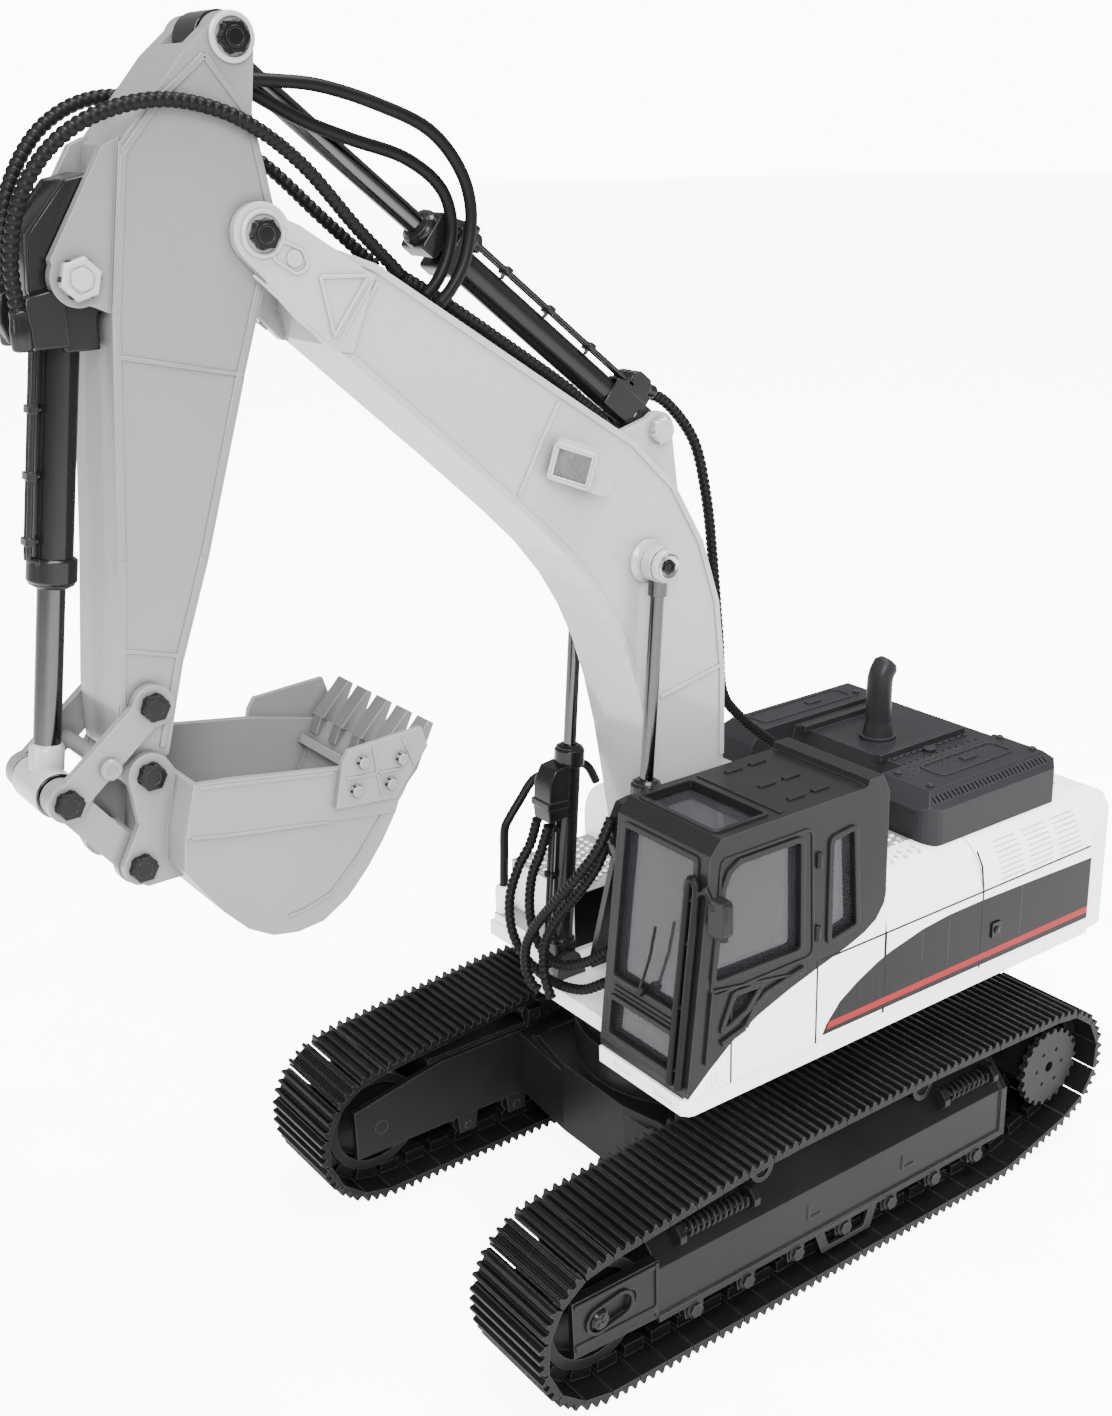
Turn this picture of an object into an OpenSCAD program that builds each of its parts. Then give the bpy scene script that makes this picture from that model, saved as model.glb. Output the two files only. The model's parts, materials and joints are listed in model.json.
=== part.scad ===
// Radio controlled crawler excavator, 1:14 class, metal arm and tracks.
// +X is forward, +Y is left, +Z is up. Z = 0 is the ground under the grousers.
// The arm is drawn in its rest pose: boom raised, stick hanging, bucket curled.

/* [Tracks] */
// Width over the outer shoe edges
overall_w = 190; // [188:1:192]
// Width of one track shoe
shoe_w = 42; // [40:1:42]
// Idler axle to sprocket axle
wheelbase = 238; // [237:1:239]
// Height of the idler axle
idler_z = 31; // [31:1:32]
// Height of the sprocket axle
sprocket_z = 38; // [38:1:39]
// Number of shoes in each track
shoes = 52; // [51:1:52]
// Thickness of a shoe plate
plate_t = 2; // [1.8:0.1:2.2]
// Height of a grouser above its plate
grouser_h = 2.2; // [1.6:0.2:2.2]
// Distance from one bottom roller to the next
roller_pitch = 25.2; // [25:0.1:25.2]
// Bottom rollers in each track
roller_n = 7; // [7:1:7]

/* [House] */
// Height of the underside of the house
house_z = 87; // [87:1:88]
// Width of the house
house_w = 160; // [160:1:161]
// Height of the engine deck
deck_z = 149; // [149:1:150]
// Rear end of the side panels, behind the swing centre
rear_x = -150; // [-151:1:-150]
// Radius of the rounded panel shoulder
shoulder_r = 21; // [20:1:21]
// Height of the cab roof
roof_z = 190.5; // [190:0.5:191]
// Wall thickness of the plastic covers
wall = 2.5; // [2:0.25:2.5]

/* [Boom] */
// Boom foot pin, forward of the swing centre
foot_x = 16; // [16:1:16]
// Boom foot pin height
foot_z = 138; // [138:1:138]
// Half the width of the boom
boom_hw = 16.5; // [16:0.5:16.5]
// Distance of each boom cylinder from the middle
cyl_y = 23.5; // [23.5:0.1:23.6]

/* [Stick and bucket] */
// Half the width of the stick
stick_hw = 14.5; // [14:0.5:14.5]
// Half the width of the bucket
bucket_hw = 30.5; // [30:0.5:31]
// Number of bucket teeth
teeth_n = 5; // [3:1:5]

/* [Pins] */
// Radius of the arm pins
pin_r = 2.2; // [2.1:0.05:2.2]
// Radial running clearance
run = 0.06; // [0.05:0.01:0.1]

/* [Hidden] */
$fn = 48;
ox = -42.900; // swing centre behind the origin, which is under the middle of the whole machine
e = 0.05;
track_y = overall_w/2 - shoe_w/2;
track_c = [wheelbase/2, idler_z];
spr_c = [-wheelbase/2, sprocket_z];
idler_r = idler_z - plate_t - grouser_h;
spr_r = 24.3;
ground_in = plate_t + grouser_h;
car_in = 65;
roller_z = 14.5;
roller_x0 = 77;
carrier_x = [40, -46];
carrier_z = 54.6;
ring_z = 84.6;
side_y = house_w/2;
// arm pins in the X-Z plane
F = [foot_x, foot_z];      // boom foot
B = [51, 100];             // boom cylinder foot
T = [37, 271];             // boom cylinder rod end
S = [178, 392.5];          // boom to stick
A = [25, 315];             // stick cylinder foot
U = [181, 445];            // stick cylinder rod end
G = [232, 384];            // bucket cylinder foot
H = [226, 260.6];          // lever on the stick
K = [229.4, 239.6];        // bucket on the stick
M = [235.2, 211.3];        // link on the bucket
R = [255, 237.3];          // lever, link and rod end

// ---------- helpers ----------
// a profile drawn in X-Z, given thickness from y0 to y1
module xz(y0, y1) rotate([90, 0, 0]) translate([0, 0, -y1]) linear_extrude(y1 - y0) children();
// the same profile on both sides, from a to b away from the middle
module both(a, b) { xz(a, b) children(); xz(-b, -a) children(); }
// a profile drawn in Y-Z, given thickness from x0 to x1
module yz(x0, x1) translate([x0, 0, 0]) rotate([90, 0, 90]) linear_extrude(x1 - x0) children();
// a pin along Y
module pin(p, r, y0, y1, n = 48)
  translate([p[0], y0, p[1]]) rotate([-90, 0, 0]) cylinder(r = r, h = y1 - y0, $fn = n);
// a hexagon bolt head along Y on each side
module heads(p, r, y0, y1) { pin(p, r, y0, y1, 6); pin(p, r, -y1, -y0, 6); }
// children drawn along +Z are laid from p towards q at height y
module lay(p, q, y = 0)
  translate([p[0], y, p[1]]) rotate([0, atan2(q[0] - p[0], q[1] - p[1]), 0]) children();
function perp(v) = [-v[1], v[0]];
function unit(v) = v / norm(v);
function dirn(a) = [cos(a), sin(a)];
// a closed outline moved inwards by d (points run anticlockwise)
function inset(p, d) = let(n = len(p)) [for (i = [0:n-1])
  let(a = perp(unit(p[i] - p[(i+n-1)%n])), b = perp(unit(p[(i+1)%n] - p[i])))
  p[i] + d * (a + b) / (1 + a * b)];
// an open line of points moved to its left by d
function side(p, d) = let(n = len(p)) [for (i = [0:n-1])
  let(a = perp(unit(p[max(i,1)] - p[max(i,1)-1])),
      b = perp(unit(p[min(i+1,n-1)] - p[min(i+1,n-1)-1])))
  p[i] + d * (a + b) / (1 + a * b)];
function rev(p) = [for (i = [len(p)-1:-1:0]) p[i]];
function arc(c, r, a, b, n) = [for (i = [0:n]) c + r * dirn(a + (b - a) * i / n)];
// tangent bar between two round ends
module bar(p, rp, q, rq) {
  d = norm(q - p); t = atan2(q[1]-p[1], q[0]-p[0]); k = acos((rp - rq) / d);
  translate(p) circle(rp);
  translate(q) circle(rq);
  polygon([p + rp*dirn(t-k), q + rq*dirn(t-k), q + rq*dirn(t+k), p + rp*dirn(t+k)]);
}
// a round tube swept through points as one closed polyhedron
function spline(p, n) = [for (i = [0:len(p)-2]) for (j = [0:n-1])
  let(a = p[max(i-1,0)], b = p[i], c = p[i+1], d = p[min(i+2,len(p)-1)], t = j/n)
  0.5*((2*b) + (c-a)*t + (2*a-5*b+4*c-d)*t*t + (3*b-a-3*c+d)*t*t*t), p[len(p)-1]];
module tube(p, r, up = [0, 1, 0], n = 1, s = 8) {
  q = spline(p, n); m = len(q);
  pts = [for (i = [0:m-1]) let(t = unit(q[min(i+1,m-1)] - q[max(i-1,0)]),
    u = unit(cross(t, up)), v = cross(u, t)) for (k = [0:s-1])
    q[i] + r*(u*cos(360*k/s) + v*sin(360*k/s))];
  polyhedron(pts, concat([[for (k = [0:s-1]) k]],
    [for (i = [0:m-2]) for (k = [0:s-1])
      [i*s+k, (i+1)*s+k, (i+1)*s+(k+1)%s, i*s+(k+1)%s]],
    [[for (k = [s-1:-1:0]) (m-1)*s+k]]));
}

// ---------- tracks ----------
function tangent(c, r, p, s) = atan2(p[1]-c[1], p[0]-c[0]) + s*acos(r/norm(p - c));
lift = [-88, ground_in];
car_r = [carrier_x[1], car_in];
car_f = [carrier_x[0], car_in];
loop = concat([[track_c[0], ground_in]], [lift],
  arc(spr_c, spr_r, tangent(spr_c, spr_r, lift, -1), tangent(spr_c, spr_r, car_r, 1) - 360, 20),
  [car_r, car_f],
  arc(track_c, idler_r, tangent(track_c, idler_r, car_f, -1), -90, 20));
function sums(p, i = 0, s = 0) = i >= len(p) ? [] :
  concat([s], sums(p, i+1, i+1 < len(p) ? s + norm(p[i+1]-p[i]) : s));
run_s = sums(loop);
belt_len = run_s[len(run_s)-1];
shoe_p = belt_len / shoes;
tx = [for (i = [0:len(loop)-1]) [run_s[i], loop[i][0]]];
tz = [for (i = [0:len(loop)-1]) [run_s[i], loop[i][1]]];
function at(s) = let(w = s >= belt_len ? s - belt_len : s) [lookup(w, tx), lookup(w, tz)];

module shoe() {
  l = shoe_p/2 - 0.25; g = shoe_p/3; h = plate_t + grouser_h;
  xz(-shoe_w/2, shoe_w/2) polygon(concat([[-l, 0], [l, 0], [l, plate_t]],
    [for (c = [g, 0, -g]) each [[c+1.2, plate_t], [c+0.5, h], [c-0.5, h], [c-1.2, plate_t]]],
    [[-l, plate_t]]));
  for (y = [6.5, -10]) translate([-4.3, y, -4.5]) cube([8.6, 3.5, 5]);
}
module belt(s) color([0.09, 0.09, 0.1]) translate([ox, 0, 0]) for (k = [0:shoes-1])
  let(a = at(k*shoe_p), b = at((k+1)*shoe_p), t = atan2(b[1]-a[1], b[0]-a[0]))
  translate([(a[0]+b[0])/2, s*track_y, (a[1]+b[1])/2]) rotate([0, -t, 0]) shoe();

frame_yz = [[60, 20], [89.5, 20], [89.5, 39.4], [78.5, 51.5], [60, 51.5]];
module track_frame(s) color([0.12, 0.12, 0.13]) translate([ox, 0, 0]) mirror([0, s < 0 ? 1 : 0, 0])
difference() {
  union() {
    // hollow side beam with closed ends and a bottom flange
    difference() {
      yz(-91, 94) polygon(frame_yz);
      yz(-88.5, 91.5) polygon(inset(frame_yz, 2));
    }
    yz(-91, 94) polygon([[87, 17.5], [90.3, 17.5], [90.3, 20.1], [87, 20.1]]);
    // raised rib at the rear and seam at the front
    yz(-91, -88) polygon([[80, 51], [90.3, 39.8], [90.3, 20], [89, 20], [89, 39.2], [79, 50]]);
    // outer idler guide plate with its folded top lip
    xz(87, 89.5) polygon([[93.9, 19], [131, 20.5], [131.5, 43.5], [93.9, 43.5]]);
    xz(85.6, 87.1) polygon([[94, 41], [130, 41], [130, 43.5], [94, 43.5]]);
    // inner plate carries idler, sprocket and the chassis bolts
    xz(57.5, 60.1) union() {
      polygon([[-119, 27], [-90, 20], [131, 20], [131, 42], [90, 50], [-90, 50], [-119, 50]]);
      translate(spr_c) circle(12);
    }
    // hangers for the bottom rollers, inner and outer
    for (i = [0:roller_n-1]) translate([roller_x0 - roller_pitch*i, 0, 0])
      for (y = [[86.6, 89.2], [58, 60.6]])
      xz(y[0], y[1]) polygon([[-5, 20.1], [-4, 11.5], [4, 11.5], [5, 20.1]]);
    // guard around the middle roller
    xz(89.1, 90.6) difference() {
      polygon([[-16, 19], [-12, 8.6], [14, 8.6], [18, 19]]);
      polygon([[-11, 17.6], [-8.5, 10.6], [10.5, 10.6], [13, 17.6]]);
    }
    // carrier roller posts
    for (x = carrier_x) xz(57.5, 60.1)
      polygon([[x-6, 46], [x-3.4, carrier_z+3], [x+3.4, carrier_z+3], [x+6, 46]]);
    // L shaped strap marks
    for (x = [21, -30]) translate([x, 0, 0]) {
      xz(89.4, 90) polygon([[-7, 26], [0, 26], [0, 32], [-1, 32], [-1, 27], [-7, 27]]);
    }
  }
  for (i = [0:roller_n-1]) pin([roller_x0 - roller_pitch*i, roller_z], 1.8+run, 57, 91);
  for (x = carrier_x) pin([x, carrier_z], 1.8+run, 57, 84);
  // roller drum space through the beam
  for (x = carrier_x) pin([x, carrier_z], 6.1, 60.2, 86);
  pin(track_c, 2.9+run, 57, 88);
  pin(spr_c, 4+run, 57, 61);
  // slot of the track tensioner
  xz(88.2, 90) union() { bar([108, 33.5], 4.4, [120, 31.4], 4.4); }
}
module bottom_roller(i) color([0.16, 0.16, 0.17]) translate([ox, 0, 0])
  for (s = [1, -1]) mirror([0, s < 0 ? 1 : 0, 0])
  translate([roller_x0 - roller_pitch*(i-1), 0, roller_z]) rotate([-90, 0, 0]) {
    translate([0, 0, 61.8]) cylinder(r = 5.2, h = 24.4);
    translate([0, 0, 57.7]) cylinder(r = 1.8, h = 32.4);
    translate([0, 0, 89.7]) cylinder(r = 2.8, h = 1.6, $fn = 6);
  }
module carrier_roller(i) color([0.16, 0.16, 0.17]) translate([ox, 0, 0])
  for (s = [1, -1]) mirror([0, s < 0 ? 1 : 0, 0])
  translate([carrier_x[i-1], 0, carrier_z]) rotate([-90, 0, 0]) difference() {
    union() {
      translate([0, 0, 60.6]) cylinder(r = 5.4, h = 23.9);
      translate([0, 0, 57.6]) cylinder(r = 1.8, h = 4);
    }
    translate([0, 0, 83.2]) cylinder(r = 3.4, h = 2);
  }
module sprocket(s) color([0.2, 0.2, 0.21]) translate([ox, 0, 0])
  translate([spr_c[0], s*track_y, spr_c[1]]) mirror([0, s < 0 ? 1 : 0, 0]) rotate([-90, 0, 0]) difference() {
    union() {
      for (z = [12.9, -13]) translate([0, 0, z]) linear_extrude(2.6) sprocket_disc();
      translate([0, 0, -11]) cylinder(r = 11, h = 25);
      translate([0, 0, -16.2]) cylinder(r = 4, h = 6);
    }
    translate([0, 0, 11]) cylinder(r = 2.4, h = 6);
    translate([0, 0, -17]) cylinder(r = 2.5, h = 14);
    for (k = [0:5]) rotate(60*k) translate([8, 0, 14.6]) cylinder(r = 1, h = 2);
  }
module sprocket_disc() union() {
  n = 22; circle(15.6);
  for (k = [0:n-1]) rotate(360*k/n) polygon([[15, -1.5], [17.3, -0.6], [17.3, 0.6], [15, 1.5]]);
}
module idler(s) color([0.17, 0.17, 0.18]) translate([ox, 0, 0]) translate([track_c[0], s*track_y, track_c[1]])
  rotate([-90, 0, 0]) difference() {
    union() {
      cylinder(r = 21.4, h = 22, center = true);
      translate([0, 0, s > 0 ? -16.4 : -13.8]) cylinder(r = 2.9, h = 30.2);
    }
    // dished faces leave a thin web
    for (z = [5, -11.1]) translate([0, 0, z]) rotate_extrude()
      polygon([[6, 0], [17.5, 0], [17.5, 6.1], [6, 6.1]]);
  }
module frame_springs() color([0.1, 0.1, 0.11]) translate([ox, 0, 0])
  for (s = [1, -1]) mirror([0, s < 0 ? 1 : 0, 0])
  for (q = [[65.2, 17.5, 9], [-69, 14.5, 7]]) translate([q[0], 84, 45.45]) rotate([-47.7, 0, 0]) {
    // two lugs on the sloped face and a stepped coil between them
    for (d = [-q[1], q[1]]) translate([d-1.5, -4.5, 0.02]) cube([3, 9, 5.5]);
    for (k = [0:q[2]]) translate([3.3-q[1] + 3*k, 0, 2.8]) rotate([0, 90, 0])
      cylinder(r = 2.7, h = 1.4, $fn = 24);
    translate([1.4-q[1], 0, 2.8]) rotate([0, 90, 0]) cylinder(r = 1.5, h = 2*q[1]-2.8, $fn = 24);
  }
module track_gearmotors() color([0.55, 0.55, 0.57]) translate([ox, 0, 0])
  for (s = [1, -1]) mirror([0, s < 0 ? 1 : 0, 0]) {
  translate([spr_c[0], 0, spr_c[1]]) rotate([-90, 0, 0]) {
    translate([0, 0, 33]) cylinder(r = 9, h = 24.4);
    translate([0, 0, 57]) cylinder(r = 2.45, h = 13.5);
  }
  translate([-112, 40, 28]) cube([26, 17.4, 18]);
}

// ---------- chassis and slewing ----------
module chassis() color([0.1, 0.1, 0.1]) translate([ox, 0, 0]) difference() {
  union() {
    // car body with sloped arms out to both frames
    linear_extrude_block();
    translate([0, 0, 53.9]) cylinder(r = 50, h = 16.1);
    // motor cradles behind
    for (s = [1, -1]) mirror([0, s < 0 ? 1 : 0, 0]) translate([-86, 38, 26]) cube([34, 19.5, 3]);
  }
  translate([0, 0, 24]) cylinder(r = 33, h = 50);
}
module linear_extrude_block() {
  translate([0, 0, 22]) linear_extrude(4) polygon([[50, -57.5], [50, 57.5], [-50, 57.5], [-50, -57.5]]);
  difference() {
    translate([0, 0, 22]) linear_extrude(28) polygon([[38, -57.5], [50, -57.5], [54, -20], [54, 20],
      [50, 57.5], [38, 57.5], [-38, 57.5], [-50, 57.5], [-54, 20], [-54, -20], [-50, -57.5], [-38, -57.5]]);
    translate([-47, -54, 25.9]) cube([94, 108, 20]);
  }
  translate([0, 0, 45]) intersection() {
    linear_extrude(9) polygon([[46, -57.5], [54, -20], [54, 20], [46, 57.5],
      [-46, 57.5], [-54, 20], [-54, -20], [-46, -57.5]]);
    yz(-60, 60) polygon([[-57.5, 0], [57.5, 0], [57.5, 1], [44, 9], [-44, 9], [-57.5, 1]]);
  }
}
gear_m = 1.2; ring_n = 60; pin_n = 12;
pinion_c = -(ring_n - pin_n) * gear_m / 2;
module slew_ring() color([0.14, 0.14, 0.15]) translate([ox, 0, 0]) difference() {
  translate([0, 0, 70.02]) cylinder(r = 47, h = ring_z - 70.02, $fn = 96);
  translate([0, 0, 69]) linear_extrude(10.6) union() {
    circle(ring_n*gear_m/2 - 0.9, $fn = 96);
    for (k = [0:ring_n-1]) rotate(360*k/ring_n) polygon([[34, -1.35], [36, -1.05], [37.4, -0.6],
      [37.4, 0.6], [36, 1.05], [34, 1.35]]);
  }
  translate([0, 0, 79.5]) cylinder(r = 41 + run, h = 6, $fn = 96);
}
module swing_pinion() color([0.75, 0.6, 0.3]) translate([ox, 0, 0]) translate([pinion_c, 0, 0]) {
  translate([0, 0, 71]) linear_extrude(7.5) union() {
    circle(5.8);
    for (k = [0:pin_n-1]) rotate(360*k/pin_n) polygon([[5.5, -1.15], [7.2, -0.8], [8, -0.4],
      [8, 0.4], [7.2, 0.8], [5.5, 1.15]]);
  }
  translate([0, 0, 78]) cylinder(r = 2, h = 24);
}
module swing_gearmotor() color([0.6, 0.6, 0.62]) translate([ox, 0, 0])
  translate([pinion_c, 0, 0]) difference() {
  union() {
    translate([0, 0, 93.6]) cylinder(r = 10.8, h = 14);
    translate([0, 0, 107.5]) cylinder(r = 8.5, h = 22);
  }
  translate([0, 0, 93]) cylinder(r = 2 + run, h = 10);
}

// ---------- house ----------
base_xy = [[rear_x, -side_y], [47, -side_y], [47, -31], [60, -31], [60, 30.5], [73, 30.5], [73, 77],
  [71, 79.4], [69, side_y], [rear_x, side_y]];
bracket_y = [17.1, 20.1];
module house_base() color([0.93, 0.93, 0.92]) translate([ox, 0, 0]) difference() {
  union() {
    translate([0, 0, house_z]) linear_extrude(6.5) polygon(base_xy);
    translate([0, 0, 80]) cylinder(r = 41, h = 7.1, $fn = 96);
    // boom foot brackets
    both(bracket_y[0], bracket_y[1]) union() {
      polygon([[-14, 93], [40, 93], [F[0]+10.5, F[1]+3], [F[0]-10.8, F[1]+2]]);
      translate(F) circle(11);
    }
    // boom cylinder ears
    for (y = [[16.4, cyl_y-4.2], [cyl_y+4.2, cyl_y+6.2]]) both(y[0], y[1]) union() {
      polygon([[B[0]-8, 93], [B[0]+8, 93], [B[0]+4.6, B[1]+3.5], [B[0]-4.6, B[1]+3.5]]);
      translate(B) circle(5.6);
    }
  }
  pin(F, pin_r+run, -30, 30);
  pin(B, pin_r+run, -35, 35);
  translate([0, 0, 79]) cylinder(r = 36, h = 10);
  translate([pinion_c, 0, 85]) cylinder(r = 5, h = 10);
  // recesses in the front of the bumper
  for (y = [39, 62]) translate([72.2, y, 89]) cube([2, 10, 2.6]);
}
module house_pins() color([0.1, 0.1, 0.1]) translate([ox, 0, 0]) {
  pin(F, pin_r, -22.4, 22.4); heads(F, 4.2, 20.2, 22.6);
  for (s = [1, -1]) mirror([0, s < 0 ? 1 : 0, 0]) pin(B, pin_r, 16.5, cyl_y+6.1);
}
function shoulder(o) = concat([[side_y-o, house_z+6.6]],
  arc([side_y-shoulder_r, deck_z-shoulder_r], shoulder_r-o, 0, 90, 10));
shell_yz = concat(shoulder(0), rev(shoulder(wall)));
sweep = [[71.5, 95], [62, 102.7], [52, 110], [39, 116.5], [24, 121.5], [9.5, 125.4],
  [-5, 129], [-14, 132], [-20, 135.5], [-24, 141], [-25.2, 147]];
module left_panels() color([0.94, 0.94, 0.93]) translate([ox, 0, 0]) {
  difference() {
    yz(rear_x, -26.2) polygon(shell_yz);
    // door seams and louvre slots
    yz(-81.3, -80.7) polygon(concat(shoulder(-1), rev(shoulder(0.6))));
    for (i = [0:2]) for (k = [0:7]) yz(-142 + 18*i, -128 + 18*i)
      let(a = 4 + 6*k) polygon([for (r = [[22, a], [22, a+1.6], [20.4, a+1.6], [20.4, a]])
        [side_y-shoulder_r, deck_z-shoulder_r] + r[0]*dirn(r[1])]);
  }
  // white lower part of the cab side
  xz(side_y-wall, side_y) difference() {
    polygon(concat([[-25.2, house_z+6.6], [72, house_z+6.6]], sweep));
    for (x = [52, 10]) polygon([[x-0.3, 94.5], [x+0.3, 94.5], [x+0.3, 93], [x-0.3, 93]]);
  }
}
tank_x = -5;
module upper_deck() color([0.94, 0.94, 0.93]) translate([ox, 0, 0]) {
  difference() {
    union() {
      mirror([0, 1, 0]) yz(rear_x, tank_x) polygon(shell_yz);
      // deck plate, and the tank front wall
      translate([rear_x, -60, deck_z-wall]) cube([-26.3-rear_x, 118.9, wall]);
      translate([-27, -60, deck_z-wall]) cube([22, 28, wall]);
      mirror([0, 1, 0]) yz(tank_x-wall, tank_x) polygon(concat([[32, house_z+6.6]],
        [[side_y, house_z+6.6]], arc([side_y-shoulder_r, deck_z-shoulder_r], shoulder_r, 0, 90, 10),
        [[32, deck_z]]));
      translate([-26.3, -34.4, house_z+6.6]) cube([21.3, wall, deck_z-house_z-6.6]);
      // bulkhead behind the swing motor
      translate([-46, -59.5, house_z+6.6]) cube([wall, 118, deck_z-house_z-7]);
    }
    mirror([0, 1, 0]) yz(-81.3, -80.7) polygon(concat(shoulder(-1), rev(shoulder(0.6))));
  }
  // tool box with treaded top ahead of the tank, and its front step
  difference() {
    translate([tank_x+e, -78, house_z+6.6]) cube([41, 44, 26]);
    translate([tank_x+e-1, -76, house_z+5]) cube([40, 40, 25.6]);
  }
  translate([36, -78, house_z+6.6]) cube([10, 44, 4]);
  // tread bumps on the deck left of the hood
  for (i = [0:3]) for (j = [0:7])
    translate([-57 + 4.2*j, 42 + 5*i, deck_z-0.5]) cylinder(r = 1, h = 1, $fn = 16);
  for (i = [0:7]) for (j = [0:7]) translate([1 + 4.6*j, -74 + 5*i, 119.2]) cylinder(r = 1, h = 0.8, $fn = 16);
}
module counterweight() color([0.92, 0.92, 0.91]) translate([ox, 0, 0]) difference() {
  intersection() {
    translate([0, 0, house_z+1]) linear_extrude(60) polygon(concat([[rear_x-0.1, -79], [rear_x-0.1, 79]],
      [[-156, 79]], arc([-156, 67], 12, 90, 145, 5), [[-171, 55], [-175, 25], [-176, 0], [-175, -25],
        [-171, -55]],
      arc([-156, -67], 12, 215, 270, 5)));
    xz(-90, 90) polygon([[-149, 88], [-168, 88], [-177, 94], [-177, 128], [-170, 143], [-160, 148],
      [-149, 148]]);
    yz(-190, -149) polygon([[-80, 88], [80, 88], [80, 131], [76, 139], [66, 148], [-66, 148],
      [-76, 139], [-80, 131]]);
  }
  translate([-160, -50, 95]) cube([20, 100, 40]);
}
module engine_hood() color([0.13, 0.13, 0.14]) translate([ox, 0, 0]) difference() {
  union() {
    // raised left box with a bevelled rim
    intersection() {
      yz(-143, -60) polygon([[35.5, deck_z+e], [60.5, deck_z+e], [65, 148.2], [68, 147.1], [68, 162],
        [60.5, 167.5], [35.5, 167.5]]);
      xz(30, 70) polygon([[-142.6, 147], [-60.5, 147], [-60.5, 162], [-69, 167.5], [-137, 167.5],
        [-142.6, 162]]);
      linear_extrude(200) polygon(concat([[-142.6, 35.5], [-60.5, 35.5], [-60.5, 60]],
        arc([-68.5, 60], 8, 0, 90, 6), [[-136, 68], [-142.6, 62]]));
    }
    // centre cover
    intersection() {
      yz(-147, -88) polygon([[-38, deck_z+e], [35.6, deck_z+e], [35.6, 161.5], [-38, 161.5]]);
      xz(-40, 40) polygon([[-147, deck_z], [-87, deck_z], [-92, 161.5], [-147, 161.5]]);
    }
    // right cover
    intersection() {
      yz(-145, -60) polygon([[-64, deck_z+e], [-37.9, deck_z+e], [-37.9, 164], [-58, 164], [-64, 158]]);
      xz(-70, -30) polygon([[-145, deck_z], [-62, deck_z], [-66, 158], [-72, 164], [-145, 164]]);
    }
    // cross bars over the centre cover
    for (y = [14, -31]) translate([-140, y, 161.4]) cube([52, 3, 3]);
    translate([-108, -4, 161]) cylinder(r = 8, h = 2.5);
    translate([-112, 22, 161]) cylinder(r = 2.6, h = 2.6);
  }
  translate([-139, 38.5, 148]) cube([74, 25, 16]);
  translate([-144, -35, 148]) cube([50, 70.6, 11]);
  translate([-142, -60.5, 148]) cube([72, 20, 12]);
  // slots along the bevelled rim
  for (k = [0:29]) translate([-134.5 + 2.3*k, 62.6, 163.6])
    rotate([-36, 0, 0]) cube([1.1, 3.4, 4], center = true);
  // rows of perforations
  for (k = [0:13]) for (j = [0:2])
    translate([-131 + 4.2*k, 38 + 3.4*j, 164]) cylinder(r = 0.7, h = 5, $fn = 16);
}
module exhaust_stack() color([0.1, 0.1, 0.1]) translate([ox, 0, 0]) translate([-108, -4, 163.55]) {
  cylinder(r = 6.5, h = 3);
  cylinder(r = 5.5, h = 26);
  translate([0, 0, 26]) sphere(5.5);
  translate([0, 0, 26]) rotate([0, -42, 0]) cylinder(r = 5.3, h = 7.6);
}
module deck_handrail() color([0.1, 0.1, 0.1]) translate([ox, 0, 0]) {
  p = [[42, -76.5, 97.7], [40, -76.5, 136], [24, -76.5, 155], [-2, -76.5, 155], [-9, -75.5, 143.5]];
  for (i = [0:3]) rod(p[i], p[i+1], 1.4);
  translate(p[0]) cylinder(r = 2.4, h = 4);
}
// straight round bar with ball ends between two points
module rod(a, b, r) {
  v = b - a; l = norm(v);
  translate(a) rotate([0, acos(v[2]/l), atan2(v[1], v[0])]) cylinder(r = r, h = l, $fn = 24);
  translate(b) sphere(r, $fn = 24);
}
// ---------- cab ----------
cab_y = [30.2, side_y];
cab_xz = [[-25, 93.7], [72, 93.7], [72.2, 97], [62, 185], [57, roof_z], [-13, roof_z], [-14, 193.2],
  [-21, 193.2], [-24.5, 186]];
cab_in = [[-22.5, 96.2], [69.5, 96.2], [69.7, 98.5], [59.7, 184], [55.6, 188], [-19, 188], [-22, 184.5]];
module cab_shell() color([0.1, 0.1, 0.11]) translate([ox, 0, 0]) difference() {
  xz(cab_y[0], cab_y[1]) polygon(cab_xz);
  xz(cab_y[0]+wall, cab_y[1]-wall) polygon(cab_in);
  // white panel region of the near side
  xz(side_y-wall-e, side_y+1) polygon(concat([[-26, 93], [73, 93], [73, 94]], sweep, [[-25.3, 150],
    [-26, 150]]));
  // side windows: door, rear, lower front, and the right hand window
  xz(70, 82) polygon([[60.8, 137], [56, 172], [53.5, 177], [49, 179.5], [20, 179.5], [19, 136]]);
  xz(70, 82) polygon([[4.6, 134.5], [4.6, 175], [-6.5, 176.5], [-9.3, 137]]);
  xz(70, 82) polygon([[57.5, 115.5], [51, 129], [38.5, 128.5], [45, 121]]);
  xz(29, 40) polygon([[58, 130], [53, 178], [-8, 178], [-8, 130]]);
  // front windows, skylight and rear window
  yz(50, 80) polygon([[35, 124], [73.5, 124], [73.5, 179], [70, 182], [38, 182], [35, 179]]);
  yz(60, 80) polygon([[35, 101.5], [73.5, 101.5], [73.5, 115], [35, 115]]);
  translate([32, 35, 180]) cube([23, 39.5, 20]);
  yz(-30, -10) polygon([[38, 152], [72, 152], [72, 182], [38, 182]]);
  // grooves pressed in the roof
  for (y = [36, 54, 69]) translate([-3, y, roof_z-0.5]) cube([19, 1.6, 2]);
}
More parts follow.
